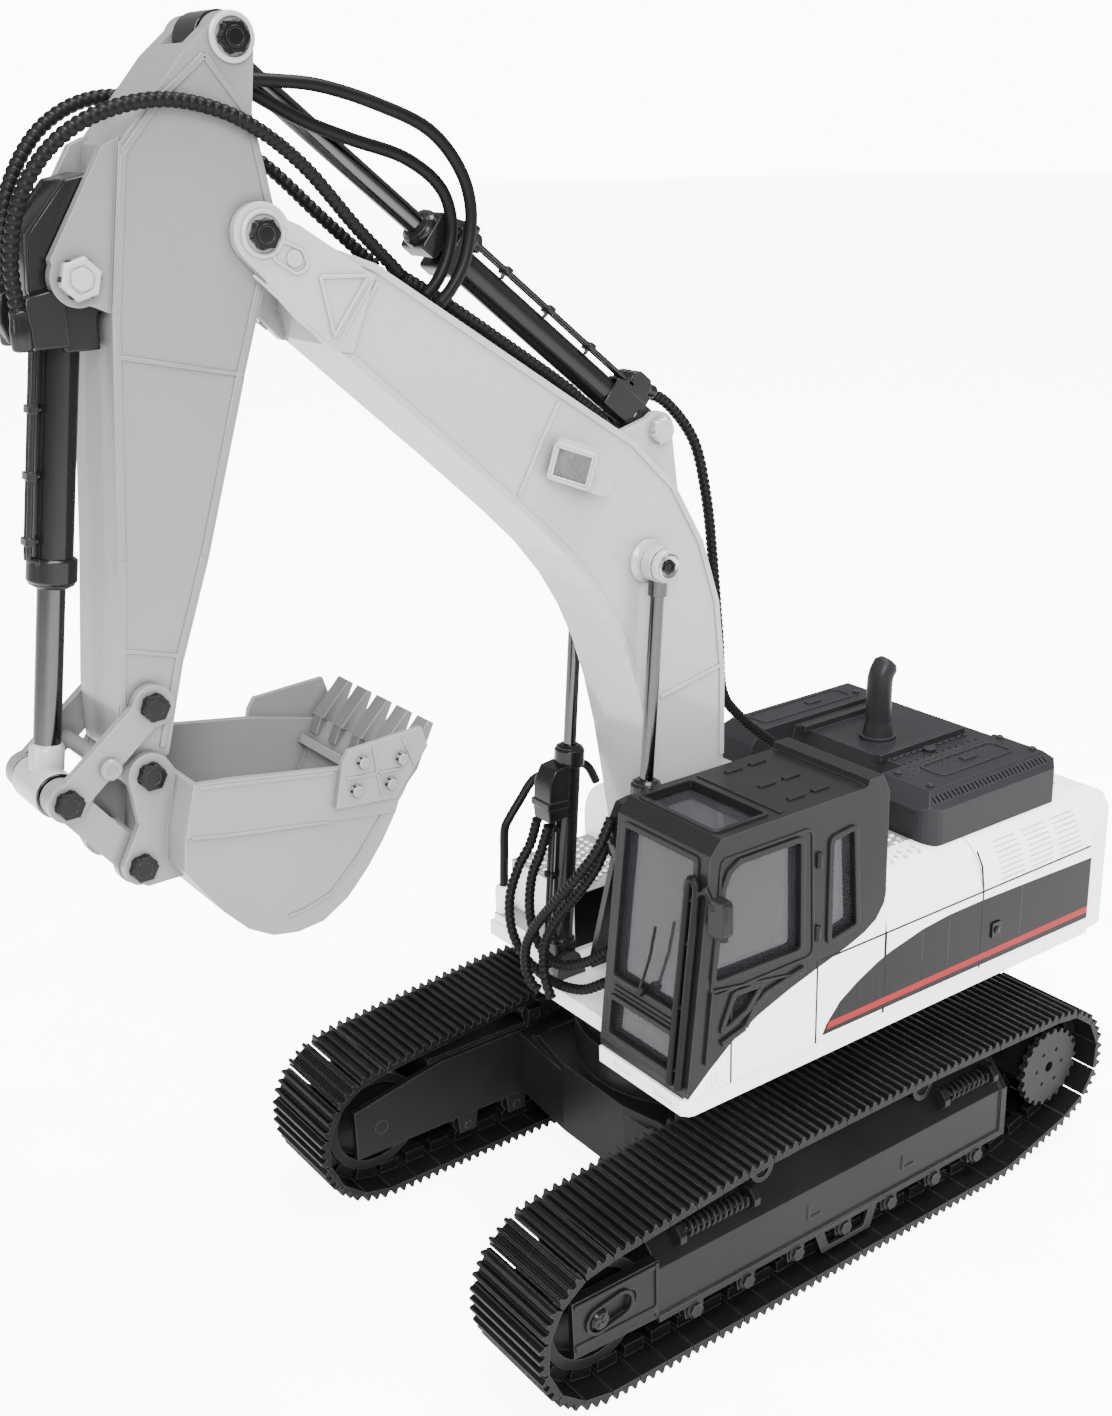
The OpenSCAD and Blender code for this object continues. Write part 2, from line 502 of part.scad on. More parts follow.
module cab_glass() color([0.35, 0.38, 0.4, 0.5]) translate([ox, 0, 0]) {
  g = side_y - wall - 0.05;
  xz(g-1, g) polygon([[62, 135.3], [57, 173], [50, 181], [18.5, 181], [17.5, 134.8]]);
  xz(g-1, g) polygon([[5.8, 133], [5.8, 177], [-7.5, 178], [-10.6, 135]]);
  xz(g-1, g) polygon([[59.2, 114.6], [52, 130.2], [36, 129.6], [44, 120]]);
  xz(cab_y[0]+wall+0.05, cab_y[0]+wall+1.05) polygon([[59.5, 129], [54, 180], [-9, 180], [-9, 129]]);
  front_pane(122.5, 183); front_pane(100.3, 116.3);
  translate([30.5, 33.6, 186.5]) cube([25, 42.4, 1]);
  translate([-21.9, 36.8, 150.8]) cube([1, 36.4, 32.4]);
}
// a pane lying against the inside of the leaning front wall
module front_pane(z0, z1) {
  k = (59.7 - 69.7) / (184 - 98.5);
  function fx(z) = 69.7 + k*(z - 98.5) - 0.1;
  xz(34, 74.4) polygon([[fx(z0), z0], [fx(z1), z1], [fx(z1)-1, z1], [fx(z0)-1, z0]]);
}
module cab_rails() color([0.08, 0.08, 0.08]) translate([ox, 0, 0]) {
  // guard bars on the near front corner and the mirror on its arm
  for (y = [72, 76.5]) lay([73.75, 98], [65.2, 172], y) cylinder(r = 1.5, h = 75, $fn = 24);
  translate([65.1, 76.5, 171]) rotate([-59, 0, 0]) cylinder(r = 1, h = 6.4, $fn = 24);
  translate([64.9, 80.4, 174.9]) rotate([-142, 0, 0]) cylinder(r = 1.2, h = 8, $fn = 24);
  translate([63.2, 83, 158]) cube([2, 7.5, 13.5]);
}
module cab_seat() color([0.15, 0.15, 0.16]) translate([ox, 0, 0]) {
  translate([-2, 43, 96.25]) cube([24, 24, 12]);
  translate([-6, 41.5, 108.3]) cube([30, 27, 7]);
  translate([-9, 43, 115.4]) rotate([0, -8, 0]) cube([6, 24, 28]);
  translate([-13.6, 49, 144]) cube([5, 12, 9]);
  // console with two levers
  for (y = [36, 70]) translate([2, y, 96.25]) cube([20, 4, 22]);
  for (y = [38, 72]) translate([18, y, 118]) cylinder(r = 0.9, h = 9, $fn = 16);
}
// ---------- inside the house ----------
module battery_pack() color([0.15, 0.35, 0.6]) translate([ox, 0, 0]) difference() {
  translate([-138, -42, house_z+6.6]) cube([44, 84, 26]);
  for (y = [-14, 14]) translate([-139, y-0.4, 118]) cube([46, 0.8, 5]);
}
module control_board() color([0.1, 0.4, 0.2]) translate([ox, 0, 0]) {
  translate([-98, -50, 130]) cube([50, 100, 1.6]);
  for (y = [-36, -8, 20]) translate([-86, y, 131.5]) cube([14, 16, 3]);
  for (y = [-40, 40]) translate([-84, y, house_z+6.6]) cylinder(r = 3, h = 130-house_z-6.6);
}

// ---------- boom ----------
boom_top = [[5, 140], [0, 188], [0, 222], [3, 249.5], [11, 274], [24, 296.5], [42, 314.5],
  [73, 335.5], [141, 381.5], [163, 390]];
// an open line with each inner corner cut once
function soft(p) = concat([p[0]], [for (i = [1:len(p)-2]) for (j = [-1, 1]) 0.75*p[i] + 0.25*p[i+j]],
  [p[len(p)-1]]);
boom_bot = soft([[27, 132], [31, 165], [38.5, 212], [48.5, 244], [64.5, 271], [90, 297], [157, 358.5]]);
boom_xz = concat(boom_bot, rev(boom_top));
// a strip of width d inside a run of edge points
module strip(p, d) polygon(concat(p, rev(side(p, d))));
function part_of(p, a, b) = [for (i = [a:b]) p[i]];
module boom() color([0.95, 0.95, 0.94]) translate([ox, 0, 0]) difference() {
  union() {
    difference() {
      xz(-boom_hw, boom_hw) union() { polygon(boom_xz); translate(F) circle(11); }
      xz(2.5-boom_hw, boom_hw-2.5) polygon(inset(part_of(boom_xz, 1, len(boom_xz)-2), 2.5));
    }
    // bosses for the cylinder pins across the hollow box
    pin(T, 7, -18.5, 18.5);
    pin(F, 8, -boom_hw, boom_hw);
    // raised borders along both edges
    both(boom_hw-e, boom_hw+0.6) union() {
      strip(part_of(boom_bot, 1, len(boom_bot)-1), 2.2);
      strip(part_of(rev(boom_top), 0, 8), 2.2);
    }
    // fork that carries the stick
    both(stick_hw+0.35, 18) union() {
      polygon([[142, 378], [151, 356], [158, 357.6], [185, 386.9], [180.6, 401], [166, 394.2]]);
      translate(S) circle(8.9);
    }
    // ears for the stick cylinder
    both(6.1, 9.3) union() {
      polygon([[15, 282], [46, 315.5], [29, 320], [19.6, 318]]);
      translate(A) circle(6.6);
    }
  }
  pin(F, pin_r+run, -30, 30);
  pin(T, pin_r+run, -30, 30);
  pin(S, pin_r+run, -30, 30);
  pin(A, pin_r+run, -30, 30);
}
module boom_pins() color([0.1, 0.1, 0.1]) translate([ox, 0, 0]) {
  pin(T, pin_r, -28.2, 28.2);
  for (s = [1, -1]) mirror([0, s < 0 ? 1 : 0, 0]) {
    pin(T, 5.4, 26.9, 28.4, 6);
    pin(T, 3.4, 18.55, 20.1);
  }
  pin(S, pin_r, -20.5, 20.5); heads(S, 4.6, 18.05, 20.8);
  pin(A, pin_r, -12, 12); heads(A, 4.6, 9.35, 12);
}
module work_lamp() color([0.9, 0.9, 0.9]) translate([ox, 0, 0]) difference() {
  translate([66, boom_hw+0.62, 307.5]) cube([10.5, 9.8, 11]);
  translate([76, boom_hw+2.2, 309]) cube([1, 6.8, 8]);
}
// ---------- cylinders ----------
// barrel with a base eye: eye half width w, tube radius r, length l, rod radius q
module barrel(r, l, q, w, er) difference() {
  union() {
    rotate([90, 0, 0]) cylinder(r = er, h = 2*w, center = true);
    intersection() {
      translate([-er, -w, 0]) cube([2*er, 2*w, er+3]);
      cylinder(r = er+1, h = er+3);
    }
    translate([0, 0, er+0.6]) cylinder(r = r, h = l-er-0.6);
    translate([0, 0, l-6]) cylinder(r = r+0.6, h = 6);
  }
  rotate([90, 0, 0]) cylinder(r = pin_r+run, h = 4*w, center = true);
  translate([0, 0, er+2.5]) cylinder(r = q+0.08, h = l);
}
// rod with an eye at the far end of a cylinder of length t
module rod_eye(t, l, q, w, er, hole) difference() {
  union() {
    translate([0, 0, t-l]) cylinder(r = q, h = l-hole-0.5);
    translate([0, 0, t-er-5]) cylinder(r = q+1, h = 5.5);
    translate([0, 0, t]) rotate([90, 0, 0]) cylinder(r = er, h = 2*w, center = true);
  }
  translate([0, 0, t]) rotate([90, 0, 0]) cylinder(r = hole, h = 4*w, center = true);
}
boom_l = norm(T - B);
stick_l = norm(U - A);
bucket_l = norm(R - G);
module boom_barrels() color([0.1, 0.1, 0.1]) translate([ox, 0, 0]) for (y = [cyl_y, -cyl_y])
  lay(B, T, y) barrel(4.6, 90.3, 2.5, 3.75, 5);
module boom_rods() color([0.8, 0.8, 0.82]) translate([ox, 0, 0]) for (y = [cyl_y, -cyl_y])
  lay(B, T, y) rod_eye(boom_l, 130, 2.5, 3, 6.2, 4);
module stick_barrel() color([0.1, 0.1, 0.1]) translate([ox, 0, 0]) lay(A, U) barrel(5.2, 118, 3.6, 5.7, 5.6);
module stick_rod() color([0.8, 0.8, 0.82]) translate([ox, 0, 0])
  lay(A, U) rod_eye(stick_l, 160, 3.6, 7.2, 7.6, 5.2);
module bucket_barrel() color([0.1, 0.1, 0.1]) translate([ox, 0, 0]) lay(G, R) barrel(6, 87, 4.1, 9.6, 6);
module bucket_rod() color([0.8, 0.8, 0.82]) translate([ox, 0, 0])
  lay(G, R) rod_eye(bucket_l, 113, 4.1, 10.6, 6.8, 4.1);
// ---------- stick ----------
stick_xz = [[221.5, 243.5], [229.4, 239.6], [236, 245], [235.5, 262], [230.5, 305], [224, 373], [217, 418],
  [205, 431], [196, 441], [183, 437], [176.5, 425], [171.7, 398], [177, 378], [186, 352], [202.5, 301],
  [213.5, 272]];
module stick() color([0.95, 0.95, 0.94]) translate([ox, 0, 0]) difference() {
  union() {
    difference() {
      xz(-stick_hw, stick_hw) union() {
        polygon(stick_xz);
        translate(K) circle(6.6);
        translate(U) circle(7);
        polygon([[176.5, 425], [196, 441], [187.2, 448.2], [174, 445.5]]);
      }
      xz(2.5-stick_hw, stick_hw-2.5) polygon(inset(stick_xz, 2.5));
    }
    pin(S, 7.5, -stick_hw, stick_hw);
    pin(H, 5.5, -stick_hw, stick_hw);
    pin(K, 6.6, -stick_hw, stick_hw);
    // webs either side of the rod slot
    both(7.8, stick_hw) polygon([[176.5, 425], [196, 441], [187.2, 448.2], [174, 445.5]]);
    // ears for the bucket cylinder
    both(10, 13.5) union() {
      translate(G) circle(7.8);
      polygon([[216, 420], [221, 418], [239, 389.5], [238, 379], [228, 376], [222, 373]]);
    }
    both(stick_hw-e, stick_hw+0.3) union() {
      strip(part_of(stick_xz, 3, 6), 1.8);
      strip(part_of(stick_xz, 13, 15), 1.8);
    }
  }
  // slot for the eye of the stick cylinder
  xz(-7.8, 7.8) polygon([[160, 455], [160, 414], [173, 425.5], [188, 436.5], [194, 446], [186, 456]]);
  for (p = [S, U, G, H, K]) pin(p, pin_r+run, -30, 30);
}
module stick_pins() color([0.1, 0.1, 0.1]) translate([ox, 0, 0]) {
  pin(U, pin_r, -17.2, 17.2); heads(U, 4.6, stick_hw+0.05, 17.4);
  pin(G, pin_r, -16, 16); heads(G, 5.9, 13.55, 16);
  pin(H, pin_r, -20.4, 20.4); heads(H, 4.4, 18.5, 20.6);
}
// ---------- linkage ----------
module bell_cranks() color([0.9, 0.9, 0.89]) translate([ox, 0, 0]) {
  difference() {
    both(15.1, 18.1) union() { bar(H, 4.9, R, 4.9); translate(H) circle(6.5); translate(R) circle(6); }
    pin(H, pin_r+run, -30, 30);
    pin(R, pin_r+run, -30, 30);
    pin([241.4, 244.9], 1.6, -30, 30);
  }
  // spacer between the two levers
  pin([241.4, 244.9], 2.6, -15.05, 15.05);
  pin([241.4, 244.9], 1.55, -19, 19);
}
module crank_pin() color([0.1, 0.1, 0.1]) translate([ox, 0, 0]) { pin(R, pin_r, -20.4, 20.4);
  heads(R, 4.4, 18.15, 20.6); }
module bucket_link() color([0.9, 0.9, 0.89]) translate([ox, 0, 0]) difference() {
  union() {
    both(11.1, 14.6) union() { bar(R, 5, M, 5); translate(R) circle(6); translate(M) circle(6.4); }
    pin((R+M)/2, 3, -11.2, 11.2);
  }
  pin(R, pin_r+run, -30, 30);
  pin(M, 4.1, -30, 30);
}
// ---------- bucket ----------
rim = [[221.7, 238.3], [209.5, 237], [172, 231], [146, 224.5]];
pan = [[146, 224.5], [150.9, 217.5], [153.5, 211], [158.8, 202.6], [165.5, 194], [173, 186.4],
  [182.2, 181], [191.3, 180], [200.1, 181.6], [208.4, 186.6], [216.2, 195.2], [222, 204], [227, 211.5],
  [225.8, 222.3], [221.7, 238.3]];
module bucket() color([0.8, 0.8, 0.79]) translate([ox, 0, 0]) {
  difference() {
    union() {
      both(28.5, bucket_hw) polygon(concat(rim, part_of(pan, 1, len(pan)-2)));
      xz(-28.6, 28.6) strip(pan, 2.2);
      both(bucket_hw-e, bucket_hw+0.75) polygon([[221.7, 238.3], [209.5, 237], [172, 231], [146, 224.5],
        [151, 216.5], [155.5, 211.4], [163.4, 212.3], [211, 220], [225.7, 222.3]]);
      both(15.2, 18.2) union() {
        translate(K) circle(6.8);
        translate(M) circle(5.8);
        polygon([[220.6, 238], [224, 244], [236.2, 239], [234.4, 225], [240.6, 213.4], [240.4, 208.9],
          [234, 204.5], [221.8, 204.6], [226, 211], [224.8, 222]]);
      }
    }
    pin(K, pin_r+run, -30, 30);
    pin(M, pin_r+run, -30, 30);
  }
}
lip_d = unit([-9.5, 13.5]);
lip_n = [lip_d[1], -lip_d[0]];
function lp(s, t) = [146, 224.5] + s*lip_d + t*lip_n;
module bucket_teeth() color([0.8, 0.8, 0.79]) translate([ox, 0, 0])
  for (k = [0:teeth_n-1]) let(y = -26 + 52*k/(teeth_n-1)) {
    // blade ahead of the lip with one cheek behind and a narrower one inside
    xz(y-3.5, y+3.5) polygon([lp(-8, -0.05), lp(-8, -1.2), lp(0, -2.6), lp(15.6, -0.2), lp(15.6, 2),
      lp(0.05, 4.6), lp(0.05, -0.05)]);
    xz(y-2.3, y+2.3) polygon([lp(0.06, 2.25), lp(-6, 2.25), lp(-6, 3.4), lp(0.06, 4.5)]);
  }
module side_cutters() color([0.8, 0.8, 0.79]) translate([ox, 0, 0]) difference() {
  both(bucket_hw+0.8, bucket_hw+2.8)
    polygon([[173, 233.5], [170.5, 237], [144, 238.5], [141.9, 231.6], [154.8, 217.1], [176.3, 218.9]]);
  both(bucket_hw+1.6, bucket_hw+3) for (p = cut_p) translate(p) circle(1.3);
}
cut_p = [[152, 230], [156.5, 222.6], [166, 232.2], [169, 223.4]];
module bucket_pin() color([0.1, 0.1, 0.1]) translate([ox, 0, 0]) {
  pin(K, pin_r, -20.4, 20.4); heads(K, 4.4, 18.25, 20.6);
  pin(M, pin_r, -20.4, 20.4); heads(M, 4.4, 18.25, 20.6);
  for (s = [1, -1]) mirror([0, s < 0 ? 1 : 0, 0]) for (p = cut_p) {
    pin(p, 1.25, bucket_hw+1.65, bucket_hw+3);
    pin(p, 2.1, bucket_hw+2.85, bucket_hw+4.2, 6);
  }
}
// ---------- hoses ----------
module boom_cylinder_hoses() color([0.08, 0.08, 0.08]) translate([ox, 0, 0]) {
  // two from cylinder to cylinder, then two from the deck to the left cylinder
  tube([[57, -28, 161], [58.5, -31, 150], [62.5, -33.5, 141], [66, -35.5, 128], [66.5, -35, 115],
    [65, -31, 105], [64, -22, 100], [64, -8, 99.6], [62.5, 7, 103], [59, 18, 110]], 2.1, [1, 0, 0]);
  tube([[56, -22, 160], [58.5, -24.5, 148], [61, -27, 138], [62, -28, 125], [61.5, -26, 113.5],
    [61.5, -18.5, 107], [62.5, -6, 108], [61, 8, 115], [58, 19, 124]], 2.1, [1, 0, 0]);
  tube([[58, 20.5, 178], [63, 19, 167], [67.5, 12.5, 155], [70, 3, 143], [71.5, -8, 129.5], [72, -16, 117],
    [72, -17.5, 106], [71, -15, 99], [69, -13, 96.4]], 2.1, [1, 0, 0]);
  tube([[57, 17, 168], [60, 14, 157], [63, 7, 145], [65.5, -2, 133], [67, -9, 121], [68, -11, 111],
    [70, -7, 103], [69, -5, 96.4]], 2.1, [1, 0, 0]);
}
module boom_top_hoses() color([0.08, 0.08, 0.08]) translate([ox, 0, 0]) {
  for (s = [1, -1]) tube([[126, 7*s, 376], [109, 7*s, 365.5], [90, 7*s, 352.6], [66, 6.4*s, 336.2],
    [55, 4.6*s, 328], [45, 3.4*s, 320.6]], 2.2);
  tube([[26, 0, 328], [13, -1, 322], [-1, -2, 306], [-8, -3, 284], [-14, -6, 259], [-20, -9, 225],
    [-25, -12, 200], [-36, -14, 186], [-52, -15, 172], [-70, -15, 158], [-78, -15, 151]], 2.2);
}
module stick_loop_hoses() color([0.08, 0.08, 0.08]) translate([ox, 0, 0]) {
  tube([[249, 12, 374], [249.5, 13, 390], [246, 15, 405], [238, 17, 417], [226, 18, 425], [210, 18, 429],
    [195, 18, 428], [179, 18, 422], [161, 14, 410], [143, 10, 392], [127, 7, 377]], 2.2);
  tube([[244, -12, 372], [243, -14, 390], [237, -16, 409], [224, -18, 424], [206, -18, 430.5],
    [182, -18, 426], [160, -15, 411], [143, -11, 394], [127, -7, 378]], 2.2);
}
module stick_feed_hoses() color([0.08, 0.08, 0.08]) translate([ox, 0, 0]) {
  tube([[175, 11, 434], [166, 11, 433.5], [153, 11.5, 432], [136, 12.5, 427], [118, 13.5, 419],
    [107.5, 14, 407], [104, 14, 394], [106, 14.2, 380], [112, 14.4, 369]], 2);
  tube([[173, 6.6, 431], [158, 7.4, 423], [142, 8, 417], [124, 8.6, 411], [112, 9.2, 402],
    [108.5, 9.8, 391], [111.5, 10.8, 380], [119, 11.8, 372]], 2);
}

// ---------- drawing ----------
chassis();
track_frame(1);  // left_track_frame
track_frame(-1);  // right_track_frame
belt(1);  // left_track_belt
belt(-1);  // right_track_belt
track_gearmotors();
slew_ring();
frame_springs();
sprocket(1);  // left_sprocket
sprocket(-1);  // right_sprocket
idler(1);  // left_idler
idler(-1);  // right_idler
bottom_roller(1);  // track_rollers_1
bottom_roller(2);  // track_rollers_2
bottom_roller(3);  // track_rollers_3
bottom_roller(4);  // track_rollers_4
bottom_roller(5);  // track_rollers_5
bottom_roller(6);  // track_rollers_6
bottom_roller(7);  // track_rollers_7
carrier_roller(1);  // carrier_rollers_1
carrier_roller(2);  // carrier_rollers_2
house_base();
house_pins();
left_panels();
upper_deck();
counterweight();
engine_hood();
exhaust_stack();
deck_handrail();
cab_shell();
cab_glass();
cab_rails();
cab_seat();
battery_pack();
control_board();
swing_gearmotor();
swing_pinion();
boom();
boom_pins();
work_lamp();
boom_barrels();
boom_rods();
stick();
stick_pins();
stick_barrel();
stick_rod();
bucket();
bucket_teeth();
side_cutters();
bucket_pin();
bucket_barrel();
bucket_rod();
bell_cranks();
crank_pin();
bucket_link();
boom_cylinder_hoses();
boom_top_hoses();
stick_loop_hoses();
stick_feed_hoses();
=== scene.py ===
"""Looks of the radio controlled excavator. Lengths below are in millimetres from the swing axis on the
ground, +X forward, +Y to the cab side, +Z up; at() turns them into the frame's metres."""
import json
import math
import bpy
from mathutils import Matrix, Vector


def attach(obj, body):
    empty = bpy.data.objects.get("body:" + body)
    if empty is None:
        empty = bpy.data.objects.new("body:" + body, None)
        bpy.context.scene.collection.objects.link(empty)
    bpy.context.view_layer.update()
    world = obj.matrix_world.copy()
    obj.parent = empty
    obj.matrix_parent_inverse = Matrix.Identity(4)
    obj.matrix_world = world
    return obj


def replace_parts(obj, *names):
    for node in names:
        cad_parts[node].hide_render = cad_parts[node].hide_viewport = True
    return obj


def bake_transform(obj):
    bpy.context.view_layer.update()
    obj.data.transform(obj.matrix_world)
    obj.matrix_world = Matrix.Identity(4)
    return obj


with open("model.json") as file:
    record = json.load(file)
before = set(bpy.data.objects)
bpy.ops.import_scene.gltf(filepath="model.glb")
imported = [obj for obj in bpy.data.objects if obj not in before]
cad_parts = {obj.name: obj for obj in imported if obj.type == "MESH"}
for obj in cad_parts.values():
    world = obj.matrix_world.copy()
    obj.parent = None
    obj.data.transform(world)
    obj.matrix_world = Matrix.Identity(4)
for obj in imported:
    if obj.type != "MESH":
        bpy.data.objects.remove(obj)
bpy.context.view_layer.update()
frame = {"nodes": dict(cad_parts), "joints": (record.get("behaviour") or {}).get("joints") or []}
MM = 0.001
SWING = next(j for j in frame["joints"] if j["name"] == "house_swing")["pos_m"][0]

# arm pins in X-Z, as the CAD has them
FOOT, BOOM_CYL, BOOM_EYE = (16, 138), (51, 100), (37, 271)
TIP, STICK_CYL, STICK_EYE = (178, 392.5), (25, 315), (181, 445)
BUCKET_CYL, LEVER, BUCKET_PIN = (232, 384), (226, 260.6), (229.4, 239.6)
LINK_LOW, CRANK = (235.2, 211.3), (255, 237.3)
CYL_Y = 23.5
# walls that details are laid on, as distances from the middle plane, and the top of the cab
BOOM_WALL, FORK_WALL, STICK_WALL = 16.5, 18, 14.5
BUCKET_WALL, CUTTER_WALL, FRAME_WALL, HOUSE_WALL = 30.5, 33.3, 89.5, 80
CAB_ROOF = 190.5
# the camera that was fitted to the photo: angles in degrees, place in mm, shifts as parts of the frame
VIEW_AZIMUTH, VIEW_ELEVATION, VIEW_ROLL = 54.10, 19.48, -1.55
VIEW_FROM, VIEW_LENS, VIEW_SHIFT = (403.8, 467.1, 426.9), 42.79, (-0.0012, -0.0104)
SHARP_ANGLE = 38  # degrees between faces from which an edge stays sharp
TOP_NORMAL = 0.97  # upward part of a normal from which a face counts as a top


def at(x, y, z):
    return Vector((SWING + x * MM, y * MM, z * MM))


# ---------------------------------------------------------------- camera, floor and light
def camera():
    az, el, roll = (math.radians(v) for v in (VIEW_AZIMUTH, VIEW_ELEVATION, VIEW_ROLL))
    back = Vector((math.cos(el) * math.cos(az), math.cos(el) * math.sin(az), math.sin(el)))
    right = Vector((0, 0, 1)).cross(back).normalized()
    up = back.cross(right)
    right, up = (right * math.cos(roll) + up * math.sin(roll), up * math.cos(roll) - right * math.sin(roll))
    data = bpy.data.cameras.new("camera")
    data.sensor_fit = "VERTICAL"
    data.sensor_height = 36
    data.lens = VIEW_LENS
    data.shift_x, data.shift_y = VIEW_SHIFT
    data.clip_start = 0.01
    cam = bpy.data.objects.new("camera", data)
    turn = Matrix((right, up, back)).transposed().to_4x4()
    cam.matrix_world = Matrix.Translation(at(*VIEW_FROM)) @ turn
    bpy.context.collection.objects.link(cam)
    bpy.context.scene.camera = cam


def area(name, place, target, size, watts, tint=(1, 1, 1)):
    data = bpy.data.lights.new(name, "AREA")
    data.shape, data.size, data.size_y = "RECTANGLE", size[0], size[1]
    data.energy, data.color = watts, tint
    lamp = bpy.data.objects.new(name, data)
    lamp.location = place
    lamp.rotation_euler = (Vector(target) - Vector(place)).to_track_quat("-Z", "Y").to_euler()
    bpy.context.collection.objects.link(lamp)


def by_ray(tree, seen, mirrored, plain):
    """Strength of a white source: seen by the camera (not through glass), mirrored, and for the rest."""
    ray = tree.nodes.new("ShaderNodeLightPath")
    first = tree.nodes.new("ShaderNodeMix")
    first.inputs["A"].default_value = plain
    first.inputs["B"].default_value = mirrored
    tree.links.new(ray.outputs["Is Glossy Ray"], first.inputs["Factor"])
    second = tree.nodes.new("ShaderNodeMix")
    second.inputs["B"].default_value = seen
    tree.links.new(first.outputs["Result"], second.inputs["A"])
    bare = tree.nodes.new("ShaderNodeMath")
    bare.operation = "SUBTRACT"
    bare.use_clamp = True
    tree.links.new(ray.outputs["Is Camera Ray"], bare.inputs[0])
    tree.links.new(ray.outputs["Transparent Depth"], bare.inputs[1])
    tree.links.new(bare.outputs["Value"], second.inputs["Factor"])
    return second.outputs["Result"]


def studio():
    world = bpy.data.worlds.new("studio")
    world.use_nodes = True
    tree = world.node_tree
    tree.nodes["Background"].inputs[0].default_value = (1, 1, 1, 1)
    tree.links.new(by_ray(tree, seen=12.0, mirrored=0.5, plain=2.2), tree.nodes["Background"].inputs[1])
    bpy.context.scene.world = world
    area("key", (0.9, 1.5, 1.3), (0, 0, 0.15), (0.7, 0.9), 72)
    area("front_strip", (1.9, 0.1, 1.0), (0.1, 0, 0.25), (0.25, 1.3), 22)
    area("top", (-0.3, 0.3, 1.8), (-0.05, 0, 0.1), (1.0, 0.8), 62)
    bpy.ops.mesh.primitive_circle_add(vertices=96, radius=9, fill_type="NGON", location=(0, 0, -0.0003))
    floor = bpy.context.object
    floor.name = "floor"
    paper = paint("floor_paper", (0.9, 0.9, 0.9), 0.8, grain=60, bump=0.05)
    glow = paper.node_tree
    glow.nodes["Principled BSDF"].inputs["Emission Color"].default_value = (1, 1, 1, 1)
    strength = by_ray(glow, seen=8.0, mirrored=0.0, plain=0.0)
    glow.links.new(strength, glow.nodes["Principled BSDF"].inputs["Emission Strength"])
    floor.data.materials.append(paper)


# ---------------------------------------------------------------- materials
class Nodes:
    """Short names for adding and linking shader nodes in one material."""

    def __init__(self, name):
        self.mat = bpy.data.materials.new(name)
        self.mat.use_nodes = True
        self.tree = self.mat.node_tree
        self.bsdf = self.tree.nodes["Principled BSDF"]

    def add(self, kind, **values):
        node = self.tree.nodes.new(kind)
        for key, value in values.items():
            if key in node.inputs:
                node.inputs[key].default_value = value
            else:
                setattr(node, key, value)
        return node

    def link(self, a, b):
        self.tree.links.new(a, b)

    def spread(self, source, low, high, start=0.0, end=1.0):
        """The source's values from start to end, spread over low to high."""
        node = self.add("ShaderNodeMapRange",
                        **{"From Min": start, "From Max": end, "To Min": low, "To Max": high})
        self.link(source, node.inputs["Value"])
        return node.outputs["Result"]

    def over(self, factor, under, colour):
        """A plain colour laid over another where the factor is high."""
        node = self.add("ShaderNodeMix", data_type="RGBA")
        self.link(factor, node.inputs["Factor"])
        self.link(under, node.inputs["A"])
        node.inputs["B"].default_value = (*colour, 1)
        return node.outputs["Result"]

    def higher(self, output, limit):
        """1 where the surface's position or normal has a Z above the limit, and 0 elsewhere."""
        surface = self.add("ShaderNodeNewGeometry")
        split = self.add("ShaderNodeSeparateXYZ")
        self.link(surface.outputs[output], split.inputs["Vector"])
        node = self.add("ShaderNodeMath", operation="GREATER_THAN")
        self.link(split.outputs["Z"], node.inputs[0])
        node.inputs[1].default_value = limit
        return node.outputs["Value"]


BLACK = (0.008, 0.008, 0.008)


